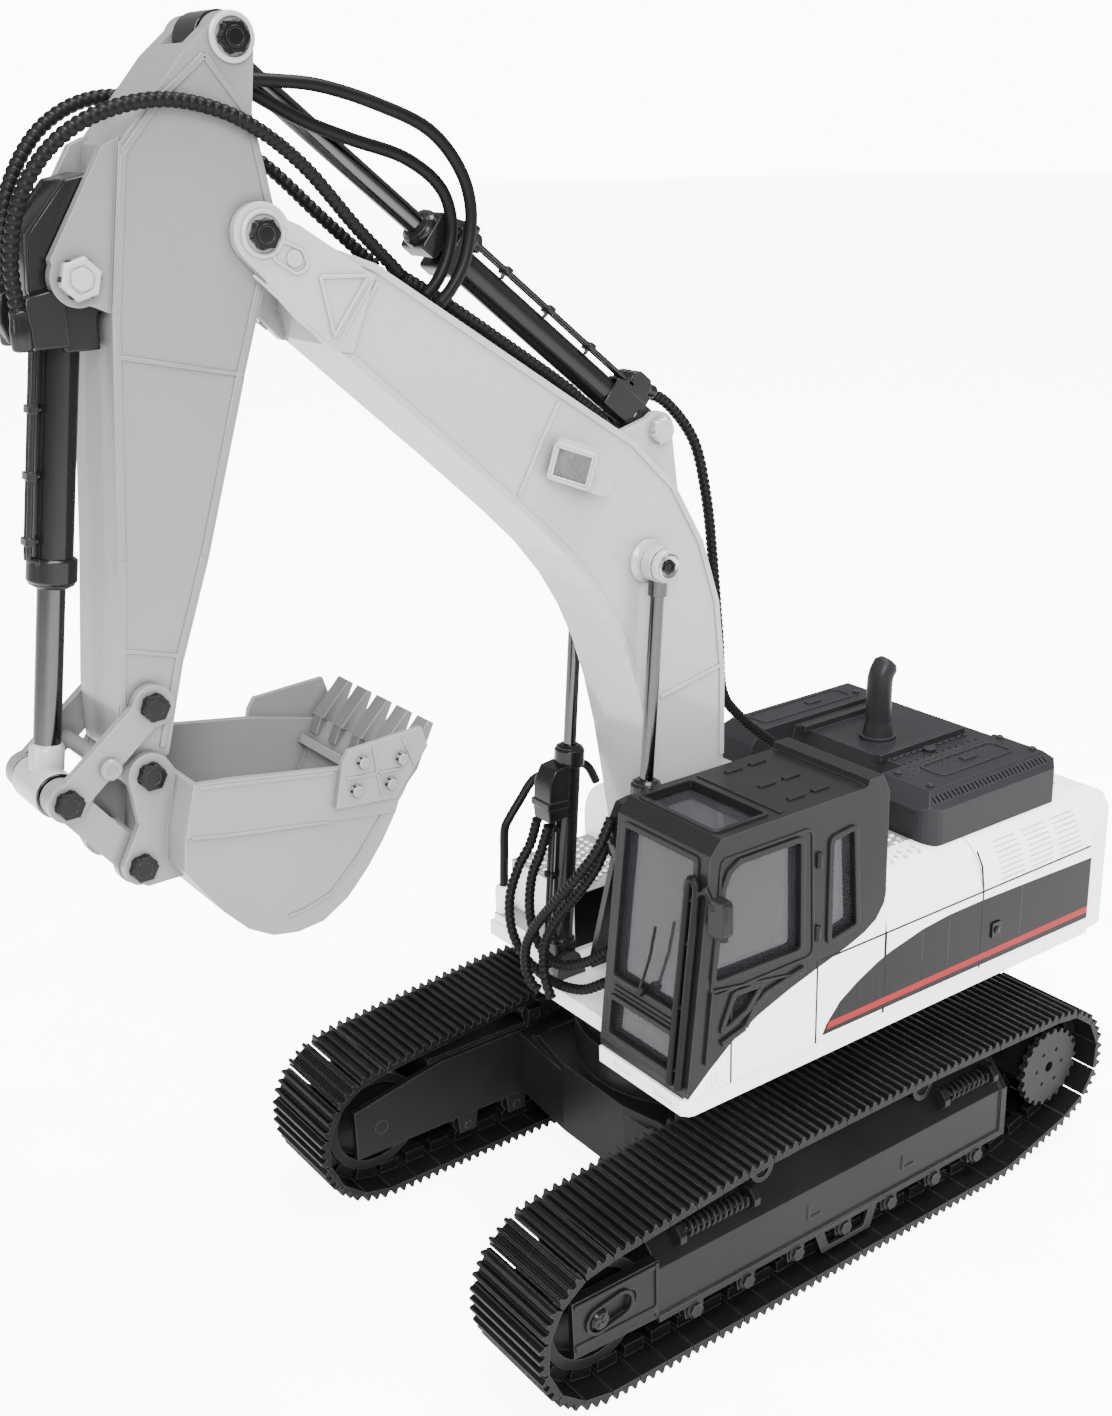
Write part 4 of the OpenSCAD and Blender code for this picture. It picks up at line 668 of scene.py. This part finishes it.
def bolts():
    jobs = (
        ("boom_tip_bolts", "boom", "bolt", (TIP,), 18, 4.65, 2.9),
        ("stick_cylinder_bolts", "boom", "arm", (STICK_CYL,), 9.3, 5.1, 3.1),
        ("stick_top_bolts", "stick", "bolt", (STICK_EYE,), 14.5, 4.65, 3),
        ("lever_bolts", "stick", "bolt", (LEVER,), 18.4, 4.45, 2.3),
        ("crank_bolts", "lever", "bolt", (CRANK,), 18.1, 4.45, 2.6),
        ("bucket_bolts", "bucket", "bolt", (BUCKET_PIN, LINK_LOW), 18.2, 4.45, 2.5),
        ("boom_foot_bolts", "house", "bolt", (FOOT,), 20.1, 4.3, 2.6),
        ("cutter_bolts", "bucket", "bucket", ((152, 230), (156.5, 222.6), (166, 232.2), (169, 223.4)), 33.3,
         2.15, 1.5),
    )
    for name, body, look, places, y, r, h in jobs:
        piece = Piece(name, look)
        for sign, _ in both_sides():
            for x, z in places:
                piece.bolt(at(x, sign * y, z), (0, sign, 0), r, h)
        piece.on(body)
    rings = Piece("stick_top_rings", "arm")
    for sign, _ in both_sides():
        rings.turned(at(STICK_EYE[0], sign * STICK_WALL, STICK_EYE[1]), (0, sign, 0),
                     [(6.9, -0.2), (6.9, 0.8), (6.3, 1.2), (5.4, 1.2), (5.3, 0.2)], 36)
    rings.on("stick")
    nuts = Piece("bucket_cylinder_nuts", "arm")
    for sign, _ in both_sides():
        nuts.turned(at(BUCKET_CYL[0], sign * 13.5, BUCKET_CYL[1]), (0, sign, 0),
                    [(6.2, 0), (6.2, 2.7), (5.6, 3.3), (4.2, 3.3), (3.9, 2.9), (0.1, 2.9)], 6)
        nuts.turned(at(BUCKET_CYL[0], sign * 13.5, BUCKET_CYL[1]), (0, sign, 0),
                    [(3.1, 2.6), (3.1, 3.5), (2.6, 3.7)], 28)
    nuts.on("stick", 0.15)


def along(p, q, y, d, off=(0, 0, 0)):
    """The point d mm from pin p towards pin q at height y, moved by off in (along, across, Y)."""
    a = Vector((q[0] - p[0], q[1] - p[1])).normalized()
    n = Vector((a.y, -a.x))
    return at(p[0] + a.x * (d + off[0]) + n.x * off[1], y + off[2],
              p[1] + a.y * (d + off[0]) + n.y * off[1])


def cylinder_details(name, body, p, q, y, r, length, across, clips, pipe_r=0.85, lift=0.0):
    """Gland, base collar, and the thin pipe with its clips that runs beside a barrel."""
    trim = Piece(name + "_fittings", "barrel")
    axis = along(p, q, y, 1) - along(p, q, y, 0)
    trim.turned(along(p, q, y, length), axis,
                [(r + 0.7, -8), (r + 1.3, -7.4), (r + 1.3, -1.2), (r + 0.5, -0.2), (r - 0.9, 0.9)], 36)
    trim.turned(along(p, q, y, 0), axis,
                [(r + 0.1, 7.2), (r + 0.8, 7.8), (r + 0.8, 9.6), (r + 0.1, 10.4)], 36)
    gap = r + 2.3
    start, end = 12, length - 7
    route = [along(p, q, y, start, (0, across * (r - 0.5), lift)),
             along(p, q, y, start + 1, (0, across * gap, lift))]
    route += [along(p, q, y, start + 3 + (end - start - 6) * k / 8,
                    (0, across * gap, lift)) for k in range(9)]
    route += [along(p, q, y, end - 1, (0, across * gap, lift)),
              along(p, q, y, end, (0, across * (r - 0.5), lift))]
    for shift in (-1.1, 1.1):
        trim.tube([p + Vector((0, shift * MM, 0)) for p in route], pipe_r, 10)
    for k in range(clips):
        d = start + 6 + (end - start - 12) * k / max(1, clips - 1)
        trim.tube([along(p, q, y, d, (0, across * (r - 0.6), lift)),
                   along(p, q, y, d, (0, across * (gap + 0.4), lift))], 0.7, 8)
        place = lambda c, t, d=d: along(p, q, y + c[0], d + t, (0, across * c[1], lift))
        trim.plate(rounded(box(-2.6, 2.6, gap - 1.3, gap + 1.4), 0.6), place,
                   -1.1, 1.1)
    trim.on(body, 0.12)


def blocks():
    """Valve blocks on the stick, bucket and boom cylinders, and the eyes of the rods."""
    block = Piece("bucket_cylinder_block", "barrel")
    outline = [(222.5, 411), (231, 409.5), (243, 396), (244.5, 381), (238.5, 371), (236, 364), (226, 364),
               (226, 372), (223.5, 378)]
    wall = side(0)
    block.plate(outline, wall, 6.3, 9.2)
    block.plate(outline, wall, -9.2, -6.3)
    block.plate([(222.5, 411), (231, 409.5), (243, 396), (244.5, 381), (243, 376), (241, 377), (240, 393),
                 (230, 403.5), (222.5, 405)], wall, -6.4, 6.4)
    for y in (8, -12):
        block.plate([(236, 366), (246, 366), (248, 372), (247, 380), (236, 382)], wall, y, y + 5)
    for x, y, z in ((249, 12, 366), (244, -12, 365)):
        block.turned(at(x, y, z), (0, 0, 1), [(2.4, 0), (2.9, 1), (2.9, 6), (2.5, 8), (2.5, 11)], 20)
    block.on("stick", 0.5)
    base = Piece("stick_cylinder_block", "barrel")
    place = lambda p, t: along(STICK_CYL, STICK_EYE, t, p[0], (0, -p[1], 0))
    base.plate([(7.5, 4.9), (24, 4.9), (24, 5.6), (20, 7), (20, 8), (7.5, 8)], place, -5.6, 5.6)
    for y in (-5.6, 5.1):
        base.plate(box(7.5, 24, -4.6, 5.2), place, y, y + 0.5)
    for y in (-2.9, 2.9):
        base.plate([(9, 7.8), (19, 7.8), (19, 11), (16.6, 13.2), (11, 13.2), (9, 11)], place, y - 2.4,
                   y + 2.4)
        base.turned(along(STICK_CYL, STICK_EYE, y, 9.5, (0, -10.4, 0)), (-1, 0, -0.5),
                    [(1.9, -1), (2.3, 0), (2.3, 3.6), (1.9, 4)], 16)
    base.on("stick_barrel", 0.4)
    head = Piece("stick_cylinder_head", "barrel")
    for d, w, h in ((103, 7.2, 7.4), (112.5, 6.8, 6.6)):
        head.plate(rounded(box(d - 3.2, d + 3.2, -h, h + 0.6), 1.6), place, -w, w)
    head.plate([(96, 5), (110, 5), (110, 8.6), (106, 10.4), (98, 10.4), (96, 8)], place, -4.6, 4.6)
    for y in (-2.8, 2.8):
        head.turned(along(STICK_CYL, STICK_EYE, y, 101, (0, -9.6, 0)), (-0.64, 0, 0.77),
                    [(2, 0), (2, 2), (1.4, 2.6)], 12)
    head.on("stick_barrel", 0.4)
    eye = Piece("bucket_rod_eye", "arm")
    eye.turned(at(CRANK[0], 0, CRANK[1]), (0, 1, 0),
               [(6.2, -10.5), (7.0, -9.8), (7.0, 9.8), (6.2, 10.5)], 36)
    eye.turned(along(CRANK, BUCKET_CYL, 0, 5),
               along(CRANK, BUCKET_CYL, 0, 6) - along(CRANK, BUCKET_CYL, 0, 5),
               [(5.2, 0), (5.2, 7), (4.5, 8.4), (4.3, 8.6)], 32)
    eye.on("bucket_rod", 0.3)
    sleeves = Piece("boom_rod_eyes", "arm")
    for sign, _ in both_sides():
        centre = at(BOOM_EYE[0], sign * CYL_Y, BOOM_EYE[1])
        sleeves.turned(centre, (0, 1, 0), [(4.6, -3.0), (6.5, -2.5), (6.5, 2.5), (4.6, 3.0)], 36)
    sleeves.on("boom_rods", 0.2)
    joints = Piece("boom_cylinder_blocks", "barrel")
    for sign, _ in both_sides():
        place = lambda p, t, y=sign * CYL_Y: along(BOOM_CYL, BOOM_EYE, y + t, p[1], (0, p[0], 0))
        joints.plate([(3, 63), (11.8, 61.5), (12.6, 66), (12.6, 77), (10, 83), (3, 84.5)], place, -5.2, 5.2)
        joints.plate(box(3, 13.4, 67, 70), place, -5.7, 5.7)
    joints.on("boom_barrels", 0.4)


def bucket_details():
    seam = Piece("bucket_welds", "bucket")
    for sign, _ in both_sides():
        wall = side(BUCKET_WALL, sign)
        seam.bar((224, 222), (212, 219.6), 1.0, wall, 0.5, 1.1)
        seam.bar((212, 219.6), (178, 214.4), 1.0, wall, 0.5, 1.1)
        seam.bar((220, 237), (175, 230.2), 1.0, wall, 0.5, 1.1)
        worn = [(158.6, 211.6), (169, 199.2), (179.2, 189.8), (188.6, 187), (194.6, 186.6)]
        for a, b in zip(worn, worn[1:]):
            seam.bar(a, b, 0.8, wall, -0.2, 0.5)
        wall = side(CUTTER_WALL, sign)
        for a, b in (((147, 226), (151, 236.6)), ((160, 219.5), (162, 236.6)), ((152, 226.5), (172, 228))):
            seam.bar(a, b, 0.9, wall, -0.2, 0.4)
    lip = side(0)
    seam.plate([(150.6, 217.8), (152.4, 215.3), (157.2, 218.8), (155.4, 221.4)], lip, -28.4, 28.4)
    seam.on("bucket", 0.2)


def arm_details():
    boom_details()
    lamp()
    stick_details()
    bolts()
    blocks()
    bucket_details()
    cylinder_details("stick_cylinder", "stick_barrel", STICK_CYL, STICK_EYE, 0, 5.2, 118, -1, 5, lift=3.0)
    cylinder_details("bucket_cylinder", "bucket_barrel", BUCKET_CYL, CRANK, 0, 6, 87, -1, 4, lift=3.0)
    for sign, name in both_sides():
        cylinder_details("boom_cylinder_" + name, "boom_barrels", BOOM_CYL, BOOM_EYE, sign * CYL_Y, 4.6,
                         90.3, 1, 4, 0.7)


# ---------------------------------------------------------------- house
CAB_FRONT = 10.2 / 88


def cab_wall(p, t):
    """(Y, Z) on the leaning front wall of the cab."""
    return at(72.2 - (p[1] - 97) * CAB_FRONT + t, p[0], p[1])


def cab():
    near = side(HOUSE_WALL)
    frames = Piece("cab_window_frames", "cab")
    door = [(60.8, 137), (56, 172), (53.5, 177), (49, 179.5), (20, 179.5), (19, 136)]
    rear = [(4.6, 134.5), (4.6, 175), (-6.5, 176.5), (-9.3, 137)]
    small = [(57.5, 115.5), (51, 129), (38.5, 128.5), (45, 121)]
    for outline, r in ((door, 3), (rear, 2.5), (small, 2)):
        outer = rounded(shrink(outline, -1.6), r + 1)
        frames.plate(outer, near, -0.4, 1.0, shrink(outer, 2.2))
    # door: seam around it, hinges, handle
    leaf = rounded([(12, 131), (62.5, 131), (57.6, 183), (14, 183)], 4)
    frames.plate(leaf, near, -0.4, 0.55, shrink(leaf, 1.1))
    for z in (137, 166):
        frames.turned(at(11, 80.4, z), (0, 0, 1), [(1.0, 0), (1.3, 0.3), (1.3, 5.6), (1.0, 6)], 16)
    frames.bar((61, 134), (19, 126.6), 1.0, near, -0.2, 0.7)
    for a, b in (((17.3, 128.1), (36.1, 124.4)), ((36.1, 124.4), (41, 121.6)), ((41, 121.6), (46, 114.4)),
                 ((46, 114.4), (57, 111.6)), ((61.8, 134), (64.6, 106))):
        frames.bar(a, b, 2.2 if a[0] < 60 else 0.8, near, -0.3, 1.3)
    # front wall: windscreen, lower pane, wiper and grille
    for y0, y1, z0, z1 in ((35, 73.5, 124, 182), (35, 73.5, 101, 115.5)):
        outer = rounded(box(y0 - 1.4, y1 + 1.4, z0 - 1.4, z1 + 1.4), 3)
        frames.plate(outer, cab_wall, -0.4, 0.9, shrink(outer, 2.1))
    for z in (118.4, 120.4, 122.2):
        frames.plate(box(36, 72, z - 0.4, z + 0.4), cab_wall, -0.2, 0.6)
    # ribs across the roof and the frame of its window
    def roof(p, t):
        return at(p[0], p[1], CAB_ROOF + t)
    outer = rounded(box(30.6, 56.4, 33.6, 75.9), 3)
    frames.plate(outer, roof, -0.3, 0.9, shrink(outer, 1.6))
    for y in (36.8, 54.8, 69.8):
        for x in (-3, 9):
            frames.plate(rounded(box(x, x + 8, y - 1.4, y + 1.4), 1), roof, -0.4, 0.7)
    for x in (27, -13.5):
        frames.bar((x, 33), (x, 77), 1.2, roof, -0.3, 0.6)
    frames.on("house", 0.25)
    wiper = Piece("wiper", "trim")
    wiper.tube([cab_wall(p, 2.0) for p in ((52, 125), (56, 140), (57.5, 152))], 0.6, 8)
    wiper.turned(cab_wall((52, 125), -0.2), (1, 0, 0.1), [(2, 0), (2, 2), (1.4, 2.8)], 20)
    wiper.on("house")
    guard = Piece("corner_guard_arch", "trim")
    guard.tube([at(65.2, y, z) for y, z in ((72, 172), (72.3, 174.2), (73.4, 175.6), (75.1, 175.6),
                                            (76.2, 174.2), (76.5, 172))], 1.5, 14)
    for z in (104, 128, 152, 168):
        guard.tube([at(73.05 - (z - 98) * 0.1155, y, z) for y in (72, 76.5)], 1.1, 10)
    guard.on("house")
    mirror = Piece("mirror_shell", "cab")
    def back(p, t):
        return at(63 - t, p[0], p[1])
    outline = rounded([(82.4, 158), (90.6, 159), (90.4, 172), (82.8, 172.4)], 2.2)
    mirror.plate(outline, back, -2.6, 2.2)
    mirror.turned(at(64.6, 84.2, 170.2), (0, 0.62, -0.79),
                  [(1.5, -1), (1.9, -0.4), (1.9, 1.6), (1.4, 2.4)], 16)
    mirror.on("house", 0.6)
    pane = Piece("mirror_glass", "steel")
    pane.plate(shrink(outline, 0.9), back, 2.2, 2.35)
    pane.on("house")


def livery():
    """Plain dark band with a red line under it, and the panel lines, lock and louvres of the near side."""
    near = side(HOUSE_WALL)
    band = Piece("side_band", "band")
    top = [(6.4, 96.4), (4.4, 100), (-2.2, 107), (-10.8, 112), (-21.2, 116.6), (-28.4, 118.9),
           (-46.5, 122.6), (-61.6, 123.9), (-81, 124), (-105, 123.4), (-149.2, 122.1)]
    for (x0, z0), (x1, z1) in zip(top, top[1:]):
        low = [95.9 - 1.6 * (6.4 - x) / 155 for x in (x0, x1)]
        band.plate([(x1, low[1]), (x0, low[0]), (x0, z0), (x1, z1)], near, -0.1, 0.12)
    band.on("house")
    stripe = Piece("side_stripe", "stripe")
    stripe.plate([(-149, 97), (4.6, 97.8), (3.4, 100.6), (-149, 100)], near, -0.1, 0.2)
    stripe.on("house")
    lines = Piece("panel_lines", "trim")
    for x in (52, 10, -26, -81):
        lines.plate(box(x - 0.35, x + 0.35, 94, 128), near, -0.2, 0.16)
    for a, b in (((-75.6, 146.6), (-79.4, 139)), ((-79.4, 139), (-81, 128))):
        lines.bar(a, b, 0.7, near, -0.2, 0.16)
    lines.plate(box(-148, 8, 127.4, 128.1), near, -0.2, 0.16)
    lines.on("house")
    lock = Piece("door_locks", "bolt")
    x, z = -89.5, 108.6
    lock.plate(rounded(box(x - 2.6, x + 2.6, z - 3.4, z + 3.4), 0.8),
               near, -0.2, 0.9)
    lock.turned(at(x, 80.8, z), (0, 1, 0), [(1.5, 0), (1.5, 0.6), (0.9, 0.8)], 20)
    lock.on("house", 0.15)
    vent = Piece("side_vent", "shell")
    for k in range(3):
        vent.plate(rounded(box(58 + k * 2.2, 59 + k * 2.2, 96.4, 102 - k),
                           0.4), near, -0.2, 0.5)
    vent.on("house", 0.15)


def hood():
    slots = Piece("hood_slats", "hood")
    def level(z):
        return lambda p, t: at(p[0], p[1], z + t)
    for x0, x1, y0, y1, z in ((-128, -84, 40, 54, 167.5), (-134, -78, -56, -43, 164)):
        outer = rounded(box(x0, x1, y0, y1), 4)
        slots.plate(outer, level(z), -0.3, 0.5, shrink(outer, 1.0))
        slots.plate(rounded(box(x0 + 16, x0 + 24, y0 + 4, y0 + 8), 1), level(z),
                    -0.3, 0.7)
    for k in range(12):
        for y in (18.5, 25.5, 32.5):
            slots.turned(at(-138 + k * 4, y, 161.4), (0, 0, 1), [(1.1, 0), (1.1, 0.7), (0.7, 0.9)], 10)
    slots.on("house", 0.15)
    screws = Piece("hood_bolts", "hood")
    for x, y, z in ((-135, 40, 167.5), (-135, 57, 167.5), (-73, 40, 167.5), (-73, 57, 167.5),
                    (-138, -46, 164), (-74, -46, 164), (-138, 28, 161.5), (-94, 28, 161.5)):
        screws.turned(at(x, y, z), (0, 0, 1),
                      [(1.7, -0.1), (1.7, 0.8), (1.2, 1.1), (0.7, 1.1), (0.6, 0.7)], 6)
    screws.on("house")
    pipe = Piece("exhaust_pipe", "hood")
    route = smooth_route([(-108, -4, 163), (-108, -4, 172), (-108, -4, 182), (-108.3, -4, 188.5),
                          (-110, -4, 192.3), (-113, -4, 195.3)], 0.8)
    last = len(route) - 1
    pipe.tube([at(*p) for p in route], lambda i: 6.6 - 1.1 * min(1, i / 8) - (0.9 if i > last - 2 else 0),
              28)
    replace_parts(pipe.on("house", 0.4), "exhaust_stack")


def deck():
    """Round studs on both decks, a black sheet beside the boom that paints the shade there, and the
    handrail with its socket.
    """
    studs = Piece("deck_studs", "shell")
    for x0, y0, z, rows, columns in ((-30.5, 39.5, 149, 8, 8), (32, -74, 120.1, 9, 10)):
        for i in range(rows):
            for k in range(columns):
                studs.turned(at(x0 - 3.8 * i, y0 + 3.7 * k + 1.85 * (i % 2), z), (0, 0, 1),
                             [(1.15, -0.2), (0.95, 0.35), (0.5, 0.55)], 8)
    studs.on("house")
    # A black sheet beside the boom that paints the shade there.
    wall = Piece("shade_sheet_by_boom", "trim")
    wall.plate(box(-3, 35.6, 95, 118.6), side(-34), -0.1, 0.4)
    wall.on("house")
    rail = Piece("handrail", "trim")
    route = smooth_route([(42, -76.5, 98), (41.4, -76.5, 110), (40.7, -76.5, 124), (40, -76.5, 135),
                          (37.4, -76.5, 139.6), (31, -76.5, 147), (26.6, -76.5, 152), (22, -76.5, 154.6),
                          (10, -76.5, 155), (0, -76.5, 155), (-5, -76.2, 152), (-9, -75.5, 143.5)], 1.5)
    rail.tube([at(*p) for p in route], 1.9, 14)
    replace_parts(rail.on("house"), "deck_handrail")
    socket = Piece("handrail_socket", "shell")
    socket.turned(at(42, -76.5, 97.6), (0, 0, 1), [(3.4, 0), (3.4, 11), (2.9, 11.8), (1.9, 12)], 24)
    socket.on("house")


def under():
    """Idler slots with their screws, caps of the bottom rollers, and the springs on the track frames."""
    plates = Piece("idler_guides", "frame")
    caps = Piece("roller_caps", "wheel")
    screws = Piece("idler_screws", "bolt")
    slot = arc((120.5, 32), 4.4, -90, 90, 8) + arc((110.8, 33.6), 4.4, 90, 270, 8)
    for sign, _ in both_sides():
        wall = side(FRAME_WALL, sign)
        plates.plate(shrink(slot, -1.3), wall, -0.4, 1.0, slot)
        plates.plate(rounded([(95, 22), (130.2, 23), (130.6, 26), (95, 25)], 0.8), wall, -0.3, 0.5)
        plates.bar((95.6, 41.8), (130.6, 41.8), 1.6, wall, -0.3, 0.7)
        plates.bar((94.6, 20.5), (94.6, 43), 1.4, wall, -0.3, 0.7)
        screws.turned(at(120, sign * 88.6, 32), (0, sign, 0),
                      [(3.9, 0), (3.9, 1.6), (3.1, 2.4), (0.1, 2.6)], 28)
        for turn in (35, 125):
            d = (2.4 * math.cos(math.radians(turn)), 2.4 * math.sin(math.radians(turn)))
            caps.bar((120 - d[0], 32 - d[1]), (120 + d[0], 32 + d[1]), 0.9, wall, 1.3, 1.9)
        for k in range(7):
            x = 77 - 25.2 * k
            caps.turned(at(x, sign * 89, 14.4), (0, sign, 0),
                        [(3.6, 0), (3.6, 0.9), (3.0, 1.3), (2.2, 1.3), (2.0, 0.7), (0.1, 0.7)], 28)
            caps.turned(at(x, sign * 89.4, 14.4), (0, sign, 0), [(1.6, 0), (1.6, 1.3), (1.2, 1.6)], 6)
    plates.on("undercarriage", 0.2)
    screws.on("undercarriage")
    caps.on("undercarriage")
    coil = Piece("frame_springs_coil", "wheel")
    lugs = Piece("frame_spring_lugs", "frame")
    for sign, _ in both_sides():
        for x, half in ((65.2, 14.6), (-69, 11.6)):
            axis = Vector((1, 0, 0))
            centre = at(x, sign * 84, 45.45)
            out_face, along_face = Vector((0, sign * 0.74, 0.673)), Vector((0, sign * 0.673, -0.74))
            centre = centre + out_face * 2.8 * MM
            turns = round(half * 0.72)
            n = turns * 16
            pts = []
            for i in range(n + 1):
                angle = 2 * math.pi * turns * i / n
                pts.append(centre + axis * ((2 * i / n - 1) * half * MM)
                           + (out_face * math.cos(angle) + along_face * math.sin(angle)) * (2.7 * MM))
            coil.tube(pts, 0.62, 8)
            coil.turned(centre - axis * (half + 1) * MM, axis, [(1.5, 0), (1.5, 2 * half + 2)], 16)
            for d in (-half - 2.9, half + 2.9):
                lugs.plate([(-4.4, -2.6), (4.4, -2.6), (4.2, 2.2), (2.2, 4), (-2.2, 4), (-4.2, 2.2)],
                           lambda p, t, d=d: centre + axis * ((d + t) * MM) + along_face * (p[0] * MM)
                           + out_face * (p[1] * MM), -1.4, 1.4)
    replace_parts(coil.on("undercarriage"), "frame_springs")
    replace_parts(lugs.on("undercarriage", 0.2), "frame_springs")


camera()
studio()
dress_frame()
hoses()
arm_details()
cab()
livery()
hood()
deck()
under()
